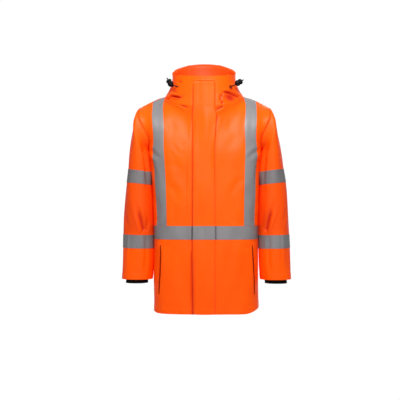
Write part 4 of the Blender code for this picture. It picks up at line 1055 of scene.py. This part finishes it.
def folded_hood(P, folds, phase, out, front=True):
    S, T = np.abs(P[..., 0]), P[..., 2]
    total = np.zeros(S.shape)
    if front:
        mask = ease((0.020 - P[..., 1]) / 0.04)
        for pts, w, d, ends, kind in folds:
            total += fold(S, T, pts, w, d, ends, kind) * mask
        if phase > 1:
            total += swell(S, T, 0.100, -0.010, 0.022, 0.016, -0.0036) * mask
    share = HOOD_SHARE[:, None]
    behind = ease((P[..., 1] - 0.02) / 0.06)
    total += 0.0012 * behind * np.sin(30 * P[..., 1] + phase) * np.sin(27 * share + phase)
    # painted shade: dark patches under the folds at the side of the neck, added to the folds' own painted shade
    shade_patch = 0.0
    if front:
        shade_patch = 0.55 * np.exp(-((S - 0.098) / 0.020) ** 2 - ((T + 0.004) / 0.010) ** 2) * mask
        if phase > 1:
            shade_patch = shade_patch + 0.40 * np.exp(-((S - 0.088) / 0.026) ** 2 - ((T - 0.003) / 0.016) ** 2) * mask
    return (P + normals(P)[...] * out * total[..., None],
            np.clip(depth_share(total, 0.0042, 0.0006) + shade_patch, 0, 1))


HS_R, D_HR = folded_hood(side_R, HOOD_FOLDS_R, 0.3, 1.0)
HS_L, D_HL = folded_hood(side_L, HOOD_FOLDS_L, 1.9, 1.0)
hood_right = Sheet("hood_side_right", mirror(HS_R), out=-1.0, shade=D_HR)
hood_left = Sheet("hood_side_left", HS_L, out=1.0, shade=D_HL)
hood_centre = Sheet("hood_centre", centre_P, out=-1.0)
for s in (hood_right, hood_left, hood_centre):
    s.valley_shade = 0.12

SHEETS = {s.name: s for s in (front_right, front_left, back, sleeve_left, sleeve_right,
                              hood_left, hood_right, hood_centre)}
EDGES = {
    "front_right": dict(top=True, last=True), "front_left": dict(top=True, last=True),
    "back": dict(top=True, first=True, last=True),
    "sleeve_left": dict(bottom=True, depth=0.0020, width=0.0040),
    "sleeve_right": dict(bottom=True, depth=0.0020, width=0.0040),
    "hood_side_left": dict(bottom=True, last=True), "hood_side_right": dict(bottom=True, last=True),
    "hood_centre": dict(bottom=True, first=True, last=True, depth=0.0004),
}
for name, s in SHEETS.items():
    R, C = s.P.shape[:2]
    s.push(seam_valley(R, C, s.P, **EDGES[name]))

# turned hems: a slightly raised double layer up to the hem's stitch line
def hem_rise(s, length, at_end, rise=0.0006):
    lens = np.concatenate([np.zeros((1, s.P.shape[1])),
                           np.cumsum(np.linalg.norm(np.diff(s.P, axis=0), axis=2), axis=0)])
    d = lens[-1:] - lens if at_end else lens
    s.push(rise * (1 - ease((d - length + 0.001) / 0.0025)) - 0.0006 * np.exp(-((d - length) / 0.0016) ** 2))


for s in (front_right, front_left, back):
    hem_rise(s, 0.022, False)
for s in (sleeve_left, sleeve_right):
    hem_rise(s, 0.024, True)

for name, s in SHEETS.items():
    # the inner faces get painted shade: at least 0.50 on the hood pieces, 0.3 on the rest
    mesh = shell_mesh(name + "_cloth", s.P, s.N, -WALL, 0.0, s.closed, s.out < 0, s.shade,
                      0.50 if name.startswith("hood") else 0.3)
    put(name + "_cloth", mesh, ORANGE, "shell_cloth", name)

# ------------------------------------------------------------ reflective bands
CK = {"front_right": RK + RF, "front_left": LK + LF}
BACK_C = np.concatenate([-(BK + BF)[::-1], (BK + BF)[1:]])       # minus is the wearer's right
ROWC = ROW_K + ROW_F
W0 = LOWER_ROWS.index(WAIST_LO)
W1 = W0 + 1
row_at = lambda v: int(np.argmax(ROWC >= v - 1e-9))
r_w0, r_w1 = row_at(W0), row_at(W1)


def band_mesh(name, P, N, flip, closed, lift=TAPE_LIFT, thick=TAPE_THICK, shade=None):
    return shell_mesh(name, P, N, lift, lift + thick, closed, flip, None if shade is None else shade)


def denser(P, n):
    """The same strip with n rows across, for crisp edges."""
    R = P.shape[0]
    at = np.linspace(0, R - 1, n)
    k = np.minimum(at.astype(int), R - 2)
    f = (at - k)[:, None, None]
    return P[k] * (1 - f) + P[k + 1] * f


def edge_stitches(colour, P, N, inset, closed, lift):
    """A run of stitches just inside both long edges of a strip whose rows go across it."""
    width = np.linalg.norm(P[-1] - P[0], axis=1).mean()
    f = inset / width
    for q in (f, 1 - f):
        at = q * (P.shape[0] - 1)
        k = min(int(at), P.shape[0] - 2)
        g = at - k
        line = P[k] * (1 - g) + P[k + 1] * g + N[k] * lift
        nn = N[k]
        if closed:
            line, nn = np.concatenate([line, line[:1]]), np.concatenate([nn, nn[:1]])
        stitches(colour, line, nn)


def row_line(s, share_rows, pull=0.0):
    return s.P[share_rows], s.N[share_rows]


# round the body: the flap covers its ends
fr_c, fl_c = SHEETS["front_right"], SHEETS["front_left"]
seam_col_l = int(np.argmax(CK["front_left"] >= 1.0 - 1e-9))
nF = front_right.P.shape[1]
strips = [(front_right, list(range(0, nF))), (back, list(range(1, back.P.shape[1]))),
          (front_left, list(range(front_left.P.shape[1] - 2, seam_col_l - 1, -1)))]
WP = np.concatenate([s.P[r_w0:r_w1 + 1][:, idx] for s, idx in strips], axis=1)
WN = np.concatenate([s.N[r_w0:r_w1 + 1][:, idx] for s, idx in strips], axis=1)
# painted shade on the waist band, taken at a third from the panels under it
WD = np.concatenate([s.shade[r_w0:r_w1 + 1][:, idx] for s, idx in strips], axis=1)
WD *= 0.3
WD[:, -3:] = np.maximum(WD[:, -3:], np.array([0.0, 0.4, 1.0]))           # painted shade where it is tucked in at the flap's sewn edge
free_at = np.abs(np.abs(WP[..., 0]) - FLAP_FREE) * (WP[..., 1] < 0) + (WP[..., 0] > 0) + (WP[..., 1] > 0)
WD = np.maximum(WD, 1 - ease((free_at - 0.0022) / 0.0030))               # the flap's free edge shades it


def smooth_normals(N, closed=False, times=3):
    for _ in range(times):
        M = N.copy()
        M[:, 1:-1] += N[:, :-2] + N[:, 2:]
        if closed:
            M[:, 0] += N[:, -1] + N[:, 1]
            M[:, -1] += N[:, -2] + N[:, 0]
        N = unit(M)
    return N


def fill_valleys(P, N, closed=False, reach=2):
    """A band bridges the seam lines it crosses instead of dipping into them."""
    Q = P.copy()
    for _ in range(reach):
        M = Q.copy()
        M[:, 1:-1] = (Q[:, :-2] + 2 * Q[:, 1:-1] + Q[:, 2:]) / 4
        if closed:
            M[:, 0] = (Q[:, -1] + 2 * Q[:, 0] + Q[:, 1]) / 4
            M[:, -1] = (Q[:, -2] + 2 * Q[:, -1] + Q[:, 0]) / 4
        Q = P + N * np.maximum(((M - P) * N).sum(-1, keepdims=True), 0.0)
    return Q


WN2 = smooth_normals(WN)
WP2 = fill_valleys(WP, WN2, reach=4)
# the front right's columns run from the middle to the side, so the strip's outside is the flipped one
put("waist_band", band_mesh("waist_band", WP2, WN2, True, False, shade=WD), BAND,
                          "reflective_tape", "waist_tape")
edge_stitches("grey", WP2, WN2, 0.0022, False, TAPE_LIFT + TAPE_THICK)

nc = neck_col(RIGHT_COLS)
for side, front, sgn in (("right", front_right, -1), ("left", front_left, 1)):
    ckf = CK["front_" + side]
    cols_f = np.where((ckf >= nc - 1e-9) & (ckf <= nc + 2 + 1e-9))[0]
    nb = neck_col(BACK_COLS)
    cols_b = np.where((sgn * BACK_C >= nb - 1e-9) & (sgn * BACK_C <= nb + 2 + 1e-9))[0]
    cols_b = cols_b if sgn > 0 else cols_b[::-1]
    at_f = np.array([(ckf[c] - nc) for c in cols_f])
    at_b = np.array([(sgn * BACK_C[c] - nb) for c in cols_b])
    PF, NF = front.P[r_w1:, cols_f], front.N[r_w1:, cols_f]
    DF = front.shade[r_w1:, cols_f]
    PB0, NB0 = back.P[r_w1:-1, cols_b][::-1], back.N[r_w1:-1, cols_b][::-1]
    PB = np.stack([np.stack([np.interp(at_f, at_b, PB0[r, :, k]) for k in range(3)], -1)
                   for r in range(PB0.shape[0])])
    NB = unit(np.stack([np.stack([np.interp(at_f, at_b, NB0[r, :, k]) for k in range(3)], -1)
                        for r in range(NB0.shape[0])]))
    P, N = np.concatenate([PF, PB]), np.concatenate([NF, NB])
    D = np.concatenate([DF, np.zeros(PB.shape[:2])])
    top = PF.shape[0]
    # painted shade on the brace band: the front's, at a third, and none near the shoulder seam
    D *= 0.3
    D[top - 6:top] = 0.0
    for _ in range(3):                                  # carried over the shoulder seam in one piece
        P[top - 4:top + 3] = (P[top - 5:top + 2] + 2 * P[top - 4:top + 3] + P[top - 3:top + 4]) / 4
        N[top - 6:top + 5] = unit(N[top - 7:top + 4] + N[top - 6:top + 5] + N[top - 5:top + 6])
    for k, nxt in ((0, 1), (-1, -2)):
        P[k] = P[k] + unit(P[nxt] - P[k]) * 0.0006
    put(f"brace_band_{side}", band_mesh(f"brace_band_{side}", P, N, sgn < 0, False, shade=D),
                                 BAND, "reflective_tape", f"brace_tape_{side}")
    edge_stitches("grey", P.transpose(1, 0, 2), N.transpose(1, 0, 2), 0.0022, False, TAPE_LIFT + TAPE_THICK)

SROW = SK + SF
for side, s in (("left", sleeve_left), ("right", sleeve_right)):
    for part, (a, b) in SLEEVE_TAPES.items():
        i0, i1 = int(np.argmax(SROW >= a + 1 - 1e-9)), int(np.argmax(SROW >= b + 1 - 1e-9))
        # sleeve rows count the armhole as row 0, so the table's row is one further on
        i0, i1 = int(np.argmax(SROW >= a - 1e-9)), int(np.argmax(SROW >= b - 1e-9))
        P, N = s.P[i0:i1 + 1], s.N[i0:i1 + 1]
        # painted shade on the sleeve bands: their folds' shade at a third, and the upper band painted darker all round
        put(
            f"sleeve_band_{part}_{side}", band_mesh(f"sleeve_band_{part}_{side}", P, N, s.out < 0, True, shade=0.3 * s.shade[i0:i1 + 1] + (0.16 if part == "upper" else 0.04)),
            BAND, "reflective_tape", f"sleeve_tape_{part}_{side}")
        edge_stitches("grey", P, N, 0.0022, True, TAPE_LIFT + TAPE_THICK)

# ------------------------------------------------------------ storm flap
FLAP_TOP = 10
free_c = int(np.argmax(CK["front_right"] >= 2 - 1e-9))
sewn_c = int(np.argmax(CK["front_left"] >= 1 - 1e-9))
h_top = int(np.argmax(HOOD_SHARE * HOOD_ROWS >= FLAP_TOP - 0.55))
cols_r, cols_l = list(range(free_c, -1, -1)), list(range(0, sewn_c + 1))
FP = np.concatenate([np.concatenate([front_right.P[:, cols_r], front_left.P[:, cols_l]], axis=1),
                     np.concatenate([hood_right.P[2:h_top + 1, cols_r], hood_left.P[2:h_top + 1, cols_l]], axis=1)])
for _ in range(2):
    FP[:, 1:-1] = (FP[:, :-2] + 2 * FP[:, 1:-1] + FP[:, 2:]) / 4
join = front_right.P.shape[0]
for _ in range(40):
    FP[join - 10:join + 10] = (FP[join - 11:join + 9] + 2 * FP[join - 10:join + 10] + FP[join - 9:join + 11]) / 4
width_of = np.concatenate([[0], np.cumsum(np.linalg.norm(np.diff(FP[60], axis=0), axis=1))])
EXTRA = np.array([0.0016, 0.0034])
want = np.concatenate([[0.0, 0.0010, 0.0024], np.linspace(0.0048, width_of[-1] - 0.0048, 17),
                       [width_of[-1] - 0.0030, width_of[-1] - 0.0014, width_of[-1]]])
FP = np.stack([np.stack([np.interp(want, width_of, FP[r, :, k]) for k in range(3)], -1) for r in range(len(FP))])
FN_ = normals(FP)
height = FP[..., 2]
wide = np.broadcast_to(want[None], height.shape)
top_z = float(FP[-1, :, 2].mean())
lift = np.zeros(height.shape)
# free edge stands a little off the front, unevenly down its length; the sewn side has a soft ridge
lift += (0.0034 + 0.0010 * np.sin(height * 11 + 0.8) + 0.0006 * np.sin(height * 27)) * (1 - ease(wide / 0.024))
lift += 0.0030 * np.exp(-((wide - (width_of[-1] - 0.0058)) / 0.0030) ** 2) * ease((height + 0.36) / 0.12)
lift += 0.0006 * np.exp(-((wide - (width_of[-1] - 0.0065)) / 0.0032) ** 2)
lift -= 0.0007 * np.exp(-((wide - (width_of[-1] - 0.0012)) / 0.0014) ** 2)
lift -= 0.0007 * np.exp(-((wide - 0.0085) / 0.0016) ** 2)                 # drawn in at the stitch lines
lift += 0.0022 * np.exp(-((wide - 0.040) / 0.026) ** 2) * (0.55 + 0.45 * np.sin(height * 6.5 + 0.4))
lift += 0.0007 * np.sin(height * 19 + 40 * wide)
# rounded upper corner on the free side
corner = 0.012
drop = np.where(wide < corner, corner - np.sqrt(np.maximum(corner**2 - (corner - wide) ** 2, 0)), 0)
near_top = ease((height - (top_z - 0.05)) / 0.05)
FPm = FP.copy()
FPm[..., 2] -= drop * near_top
# painted shade on the flap: dark along its free edge, deeper on the free side below the waist, a line at its sewn edge
# and a faint one at the stitch line near the free edge
flap_mesh = shell_mesh("storm_flap_cloth", FPm + FN_ * lift[..., None], FN_, FLAP_LIFT - 0.0006,
                       FLAP_LIFT + FLAP_THICK, False, False,
                       0.55 * np.exp(-((wide - (width_of[-1] - 0.0012)) / 0.0014) ** 2)
                       + 1.0 * (1 - ease((wide - 0.0010) / 0.0030))
                       + 0.60 * (1 - ease(wide / 0.013)) * ease((-0.54 - height) / 0.10)
                       + 0.12 * np.exp(-((wide - 0.0085) / 0.0010) ** 2))
flap = put("storm_flap_cloth", flap_mesh, ORANGE, "shell_cloth", "storm_flap")
FS = FPm + FN_ * (lift + FLAP_LIFT + FLAP_THICK)[..., None]


def flap_line(x0, z_from=None, z_to=None):
    P = np.stack([[np.interp(x0, want, FS[r, :, k]) for k in range(3)] for r in range(len(FS))])
    keep = np.ones(len(P), bool)
    if z_from is not None:
        keep &= P[:, 2] >= z_from
    if z_to is not None:
        keep &= P[:, 2] <= z_to
    k = int(np.argmin(np.abs(want - x0)))
    return P[keep], FN_[keep, k]


for x0 in (0.0085, width_of[-1] - 0.0028, width_of[-1] - 0.0105):
    stitches("orange", *flap_line(x0, HEM_Z + 0.004, top_z - 0.008))
t_row = len(FS) - 3
stitches("orange", FS[t_row - 1, 2:-1], FN_[t_row - 1, 2:-1])

rows_t = slice(r_w0, r_w1 + 1)
TP = (FPm + FN_ * lift[..., None])[rows_t]
TP[:, 0] -= unit(TP[:, 1] - TP[:, 0]) * 0.0014
TP[:, -1] += unit(TP[:, -1] - TP[:, -2]) * 0.0006
TD = np.zeros(TP.shape[:2])
# painted shade at the band's free end and its sewn end
TD[:, :3] = np.array([1.0, 1.0, 0.4])
TD[:, -1] = 0.5
put("flap_band", band_mesh("flap_band", TP, FN_[rows_t], False, False,
                                           lift=FLAP_LIFT + FLAP_THICK + TAPE_LIFT, shade=TD), BAND,
                    "reflective_tape", "flap_tape")
edge_stitches("grey", TP, FN_[rows_t], 0.0022, False, FLAP_LIFT + FLAP_THICK + TAPE_LIFT + TAPE_THICK)

# ------------------------------------------------------------ stitch lines on the cloth
def grid_line(s, col=None, row=None, off=0.0):
    if col is not None:
        return s.P[:, col] + s.N[:, col] * off, s.N[:, col]
    P, N = s.P[row] + s.N[row] * off, s.N[row]
    if s.closed:
        P, N = np.concatenate([P, P[:1]]), np.concatenate([N, N[:1]])
    return P, N


def girth_col(s, dist, from_last=False):
    """Line a set distance in from the first or last column."""
    P, N = (s.P[:, ::-1], s.N[:, ::-1]) if from_last else (s.P, s.N)
    out_p, out_n = [], []
    for r in range(P.shape[0]):
        run = np.concatenate([[0], np.cumsum(np.linalg.norm(np.diff(P[r], axis=0), axis=1))])
        out_p.append([np.interp(dist, run, P[r, :, k]) for k in range(3)])
        out_n.append([np.interp(dist, run, N[r, :, k]) for k in range(3)])
    return np.array(out_p), unit(np.array(out_n))


def length_row(s, dist, at_end=False):
    P, N = (s.P[::-1], s.N[::-1]) if at_end else (s.P, s.N)
    out_p, out_n = [], []
    for c in range(P.shape[1]):
        run = np.concatenate([[0], np.cumsum(np.linalg.norm(np.diff(P[:, c], axis=0), axis=1))])
        out_p.append([np.interp(dist, run, P[:, c, k]) for k in range(3)])
        out_n.append([np.interp(dist, run, N[:, c, k]) for k in range(3)])
    out_p, out_n = np.array(out_p), np.array(out_n)
    if s.closed:
        out_p, out_n = np.concatenate([out_p, out_p[:1]]), np.concatenate([out_n, out_n[:1]])
    return out_p, unit(out_n)


for s in (front_right, front_left, back):                 # hem, side seams and armholes
    stitches("orange", *length_row(s, 0.021))
    stitches("orange", *girth_col(s, 0.0065, True))
stitches("orange", *girth_col(back, 0.0065))
for s in (sleeve_left, sleeve_right):
    stitches("orange", *length_row(s, 0.023, True))
for s in (hood_left, hood_right):
    stitches("orange", *girth_col(s, 0.0060, True))
    line_p, line_n = length_row(s, 0.018, True)
    stitches("orange", line_p[60:], line_n[60:])
stitches("orange", *girth_col(hood_centre, 0.0060))
stitches("orange", *girth_col(hood_centre, 0.0060, True))
stitches("orange", *length_row(hood_centre, 0.018, True))
# facing's stitch line beside the flap on the wearer's right front
stitches("orange", *(a[:row_at(LOW - 1 + 6)] for a in girth_col(front_right, 0.0545)))

# ------------------------------------------------------------ pocket openings
WELTS = [
    dict(name="pocket_welt_right", front="right", g0=0.1925, z0=-0.745, g1=0.1785, z1=-0.552, w=0.009, open=0.0040),
    dict(name="pocket_welt_left", front="left", g0=0.2000, z0=-0.745, g1=0.1865, z1=-0.552, w=0.009, open=0.0040),
    dict(name="chest_pocket_welt", front="right", g0=0.0690, z0=-0.415, g1=0.0690, z1=-0.243, w=0.008, open=0.0014),
]


def place_on(s, girth, z):
    """Point and normal on a front at a girth from the middle and a height."""
    heights = s.P[:, 10, 2]
    r = int(np.clip(np.searchsorted(heights, z) - 1, 0, len(heights) - 2))
    f = (z - heights[r]) / (heights[r + 1] - heights[r])
    P, N = s.P[r] * (1 - f) + s.P[r + 1] * f, s.N[r] * (1 - f) + s.N[r + 1] * f
    run = np.concatenate([[0], np.cumsum(np.linalg.norm(np.diff(P, axis=0), axis=1))]) + ZIP_GAP / 2
    return (np.array([np.interp(girth, run, P[:, k]) for k in range(3)]),
            unit(np.array([np.interp(girth, run, N[:, k]) for k in range(3)])))


for w in WELTS:
    s = front_right if w["front"] == "right" else front_left
    rows = 60
    across_w = np.array([-0.5, -0.42, -0.30, -0.10, 0.12, 0.30, 0.42, 0.5]) * w["w"]
    P, N = np.zeros((rows, len(across_w), 3)), np.zeros((rows, len(across_w), 3))
    rise = np.zeros((rows, len(across_w)))
    for i in range(rows):
        t = i / (rows - 1)
        g, z = w["g0"] + (w["g1"] - w["g0"]) * t, w["z0"] + (w["z1"] - w["z0"]) * t
        for j, d in enumerate(across_w):
            P[i, j], N[i, j] = place_on(s, g + d, z)
        ends = float(ease(min(t, 1 - t) / 0.05))
        # the lip: thicker at its folded edge, standing open in the middle of its length
        lip = across_w / w["w"] + 0.5
        rise[i] = 0.0008 + 0.0010 * (1 - (2 * lip - 1) ** 2) + w["open"] * ends * \
            math.sin(math.pi * t) ** 0.7 * (1 - lip) ** 1.6
    sgn = s.out
    mesh = shell_mesh(w["name"] + "_lip", P + N * rise[..., None], N, -0.0009, 0.0, False, sgn < 0)
    put(w["name"] + "_lip", mesh, ORANGE, "shell_cloth", w["name"])
    # the slit itself, a sheet painted dark as the shade in the gap under the lip's free edge, and the lip's row of
    # stitches
    gap_a = np.array([place_on(s, w["g0"] + (w["g1"] - w["g0"]) * t - w["w"] * 0.5 - 0.0038,
                               w["z0"] + (w["z1"] - w["z0"]) * t) for t in np.linspace(0.02, 0.98, 50)])
    gap_b = np.array([place_on(s, w["g0"] + (w["g1"] - w["g0"]) * t - w["w"] * 0.5 + 0.0022,
                               w["z0"] + (w["z1"] - w["z0"]) * t) for t in np.linspace(0.03, 0.97, 50)])
    GP = np.stack([gap_a[:, 0], gap_b[:, 0]], axis=1)
    GN = np.stack([gap_a[:, 1], gap_b[:, 1]], axis=1)
    if w["open"] > 0.002:
        mesh = shell_mesh(w["name"] + "_slit", GP, GN, -0.0004, 0.00035, False, sgn < 0)
        put(w["name"] + "_slit", mesh, PAINTED_SHADE_CLOTH, "shell_cloth")
    line = [place_on(s, w["g0"] + (w["g1"] - w["g0"]) * t + w["w"] * 0.5 + 0.0014,
                     w["z0"] + (w["z1"] - w["z0"]) * t) for t in np.linspace(-0.01, 1.01, 60)]
    stitches("orange", np.array([q[0] for q in line]), np.array([q[1] for q in line]))
    for t_end in (-0.006, 1.006):
        line = [place_on(s, w["g0"] + (w["g1"] - w["g0"]) * t_end + d, w["z0"] + (w["z1"] - w["z0"]) * t_end)
                for d in np.linspace(-0.006, 0.006, 6)]
        stitches("orange", np.array([q[0] for q in line]), np.array([q[1] for q in line]), pitch=0.0032, length=0.0024)

# ------------------------------------------------------------ inner cuffs
def cuff(name, side):
    n, m = 160, 30
    last, prev = SLEEVE[-1], SLEEVE[-2]
    zs = np.linspace(CUFF[0]["z"], CUFF[-1]["z"], m)
    P = np.zeros((m, n, 3))
    a = 2 * math.pi * np.arange(n) / n
    cz = np.array([c["z"] for c in CUFF])[::-1]
    for i, z in enumerate(zs):
        t = (z - prev["zo"]) / (last["zo"] - prev["zo"])
        cx = ((prev["xi"] + prev["xo"]) * (1 - t) + (last["xi"] + last["xo"]) * t) / 2
        cy = prev["y"] * (1 - t) + last["y"] * t
        rx = float(np.interp(z, cz, [c["rx"] for c in CUFF][::-1]))
        ry = float(np.interp(z, cz, [c["ry"] for c in CUFF][::-1]))
        rib = 0.0007 * np.cos(a * 80) * (0.4 + 0.6 * float(ease((-0.655 - z) / 0.02)))
        roll = 0.0012 * math.exp(-((z - zs[-1]) / 0.004) ** 2)
        P[i] = np.stack([side * (cx + (rx - 0.0008 + rib + roll) * power(np.cos(a), 2 / SLEEVE_N)),
                         cy - (ry - 0.0008 + rib + roll) * power(np.sin(a), 2 / SLEEVE_N), np.full(n, z)], -1)
    N = normals(P, True) * side
    mesh = shell_mesh(name + "_cloth", P, N, -WALL, 0.0, True, side < 0)
    put(name + "_cloth", mesh, CUFF_BLACK, "cuff_cloth", name)


cuff("cuff_right", -1)
cuff("cuff_left", 1)

# ------------------------------------------------------------ hood drawcord ends and their locks
CORD_D = 0.0045
ROUTES = {
    "right": [(-0.10591, -0.06544, 0.03495), (-0.1115, -0.06687, 0.03624), (-0.11822, -0.06515, 0.03875),
              (-0.12732, -0.05819, 0.03715), (-0.13034, -0.05622, 0.04194), (-0.13337, -0.05425, 0.04674),
              (-0.1364, -0.05228, 0.05153), (-0.13942, -0.05031, 0.05632), (-0.14245, -0.04834, 0.06111),
              (-0.14547, -0.04637, 0.0659), (-0.1485, -0.0444, 0.0707)],
    "left": [(0.09218, -0.06711, 0.03469), (0.09776, -0.06862, 0.03595), (0.10449, -0.06699, 0.03845),
              (0.10985, -0.06343, 0.04273), (0.11418, -0.06041, 0.04557), (0.1185, -0.05738, 0.04842),
              (0.12283, -0.05435, 0.05126), (0.12716, -0.05132, 0.05411), (0.13149, -0.0483, 0.05696),
              (0.13582, -0.04527, 0.0598), (0.14015, -0.04224, 0.06265)],
}


def lock_mesh(name, at, axis):
    """Cord lock: barrel with grip rings, a waisted neck, a spring button and a through hole."""
    axis = unit(axis)
    u = unit(np.cross(axis, [0, 1.0, 0]))
    v = np.cross(axis, u)
    half, hole = 0.0145, 0.0028
    prof = [(-half, hole), (-half, 0.0062), (-half + 0.0008, 0.0080), (-half + 0.0024, 0.0096),
            (-0.0088, 0.0108), (-0.0078, 0.0112), (-0.0068, 0.0104), (-0.0058, 0.0112), (-0.0048, 0.0104),
            (-0.0038, 0.0112), (-0.0028, 0.0104), (-0.0016, 0.0108), (0.0004, 0.0100), (0.0016, 0.0080),
            (0.0032, 0.0074), (0.0048, 0.0084), (0.0058, 0.0102), (0.0074, 0.0110), (0.0106, 0.0104),
            (half - 0.0020, 0.0088), (half - 0.0006, 0.0066), (half, 0.0052), (half, hole)]
    k = 48
    verts, faces = [], []
    for s_, r in prof:
        for j in range(k):
            a = 2 * math.pi * j / k
            flat = 1.0 - 0.10 * abs(math.sin(a)) ** 3
            rr = r * flat if r > 0.003 else r
            verts.append(tuple(at + axis * s_ + (u * math.cos(a) + v * math.sin(a)) * rr))
    m = len(prof)
    for i in range(m):
        for j in range(k):
            a, b = i * k + j, i * k + (j + 1) % k
            c, d = ((i + 1) % m) * k + (j + 1) % k, ((i + 1) % m) * k + j
            faces.append((a, b, c, d))
    mesh = bpy.data.meshes.new(name)
    mesh.from_pydata(verts, [], faces)
    bm = bmesh.new()
    bm.from_mesh(mesh)
    bmesh.ops.recalc_face_normals(bm, faces=bm.faces)
    bm.to_mesh(mesh)
    bm.free()
    mesh.shade_smooth()
    mesh.set_sharp_from_angle(angle=math.radians(45))
    return mesh


for side, route in ROUTES.items():
    curve = bpy.data.curves.new("drawcord_" + side, "CURVE")
    curve.dimensions = "3D"
    spline = curve.splines.new("POLY")
    pts = [np.array(p) for p in route]
    fine = []
    for i in range(len(pts) - 1):
        p0, p1, p2, p3 = pts[max(i - 1, 0)], pts[i], pts[i + 1], pts[min(i + 2, len(pts) - 1)]
        for t in np.linspace(0, 1, 5)[:-1]:
            fine.append(0.5 * (2*p1 + (p2 - p0)*t + (2*p0 - 5*p1 + 4*p2 - p3)*t*t
                               + (3*p1 - p0 - 3*p2 + p3)*t**3))
    fine.append(pts[-1])
    spline.points.add(len(fine) - 1)
    for pt, q in zip(spline.points, fine):
        pt.co = (*q, 1)
    curve.bevel_depth = CORD_D / 2
    curve.bevel_resolution = 4
    curve.use_fill_caps = True
    curve.resolution_u = 1
    curve.materials.append(CORD_BLACK)
    cord = bpy.data.objects.new("drawcord_" + side, curve)
    bpy.context.scene.collection.objects.link(cord)
    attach(cord, "root")
    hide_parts("cord_" + side)
    lock = put("cord_lock_" + side, lock_mesh("cord_lock_" + side, pts[6], pts[7] - pts[5]), PLASTIC,
               "toggle", "toggle_" + side)

# ------------------------------------------------------------ stitches into meshes, CAD pieces that stay
build_stitches("orange", THREAD_ORANGE)
build_stitches("grey", THREAD_GREY)
for name, mat in (("front_zip", ORANGE), ("eyelet_left", CORD_BLACK), ("eyelet_right", CORD_BLACK)):
    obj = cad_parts[name]
    obj.data.materials.clear()
    obj.data.materials.append(mat)

# ------------------------------------------------------------ floor and light
def studio():
    def sheet(name, corners, mat):
        mesh = bpy.data.meshes.new(name)
        mesh.from_pydata(corners, [], [(0, 1, 2, 3)])
        mesh.materials.append(mat)
        obj = bpy.data.objects.new(name, mesh)
        bpy.context.scene.collection.objects.link(obj)
        return obj

    pale, tree, bsdf = new_material("floor_pale")
    bsdf.inputs["Base Color"].default_value = (0.80, 0.80, 0.80, 1)
    bsdf.inputs["Roughness"].default_value = 0.9
    white, tree, bsdf = new_material("backdrop_white")
    bsdf.inputs["Base Color"].default_value = (0.0, 0.0, 0.0, 1)
    bsdf.inputs["Specular IOR Level"].default_value = 0.0
    bsdf.inputs["Emission Color"].default_value = (1.0, 1.0, 1.0, 1)
    bsdf.inputs["Emission Strength"].default_value = 1.02
    sheet("floor", [(-3, -3.2, -1.60), (3, -3.2, -1.60), (3, 1.6, -1.60), (-3, 1.6, -1.60)], pale)
    sheet("backdrop", [(-3.2, 4.6, -3.2), (3.2, 4.6, -3.2), (3.2, 4.6, 2.6), (-3.2, 4.6, 2.6)], white)

    world = bpy.data.worlds.new("studio")
    bpy.context.scene.world = world
    world.use_nodes = True
    world.node_tree.nodes["Background"].inputs["Color"].default_value = (1.0, 1.0, 1.0, 1)
    world.node_tree.nodes["Background"].inputs["Strength"].default_value = 0.36

    def area(name, at, look, size, power_, color=(1, 1, 1)):
        data = bpy.data.lights.new(name, "AREA")
        data.shape, data.size, data.size_y = "RECTANGLE", size[0], size[1]
        data.energy, data.color = power_, color
        lamp = bpy.data.objects.new(name, data)
        bpy.context.scene.collection.objects.link(lamp)
        lamp.location = at
        lamp.rotation_euler = (Vector(look) - Vector(at)).to_track_quat("-Z", "Y").to_euler()

    area("key", (0.04, -1.25, 1.0), (0, 0, -0.25), (0.30, 0.5), 40)
    area("front_box", (0.35, -3.2, 1.0), (0, 0, -0.2), (0.8, 0.8), 30)
    area("back_light", (0.4, 3.0, 1.8), (0, 0, -0.3), (1.8, 1.8), 55)


studio()
bpy.context.scene.view_settings.view_transform = "Standard"
bpy.context.scene.view_settings.look = "None"

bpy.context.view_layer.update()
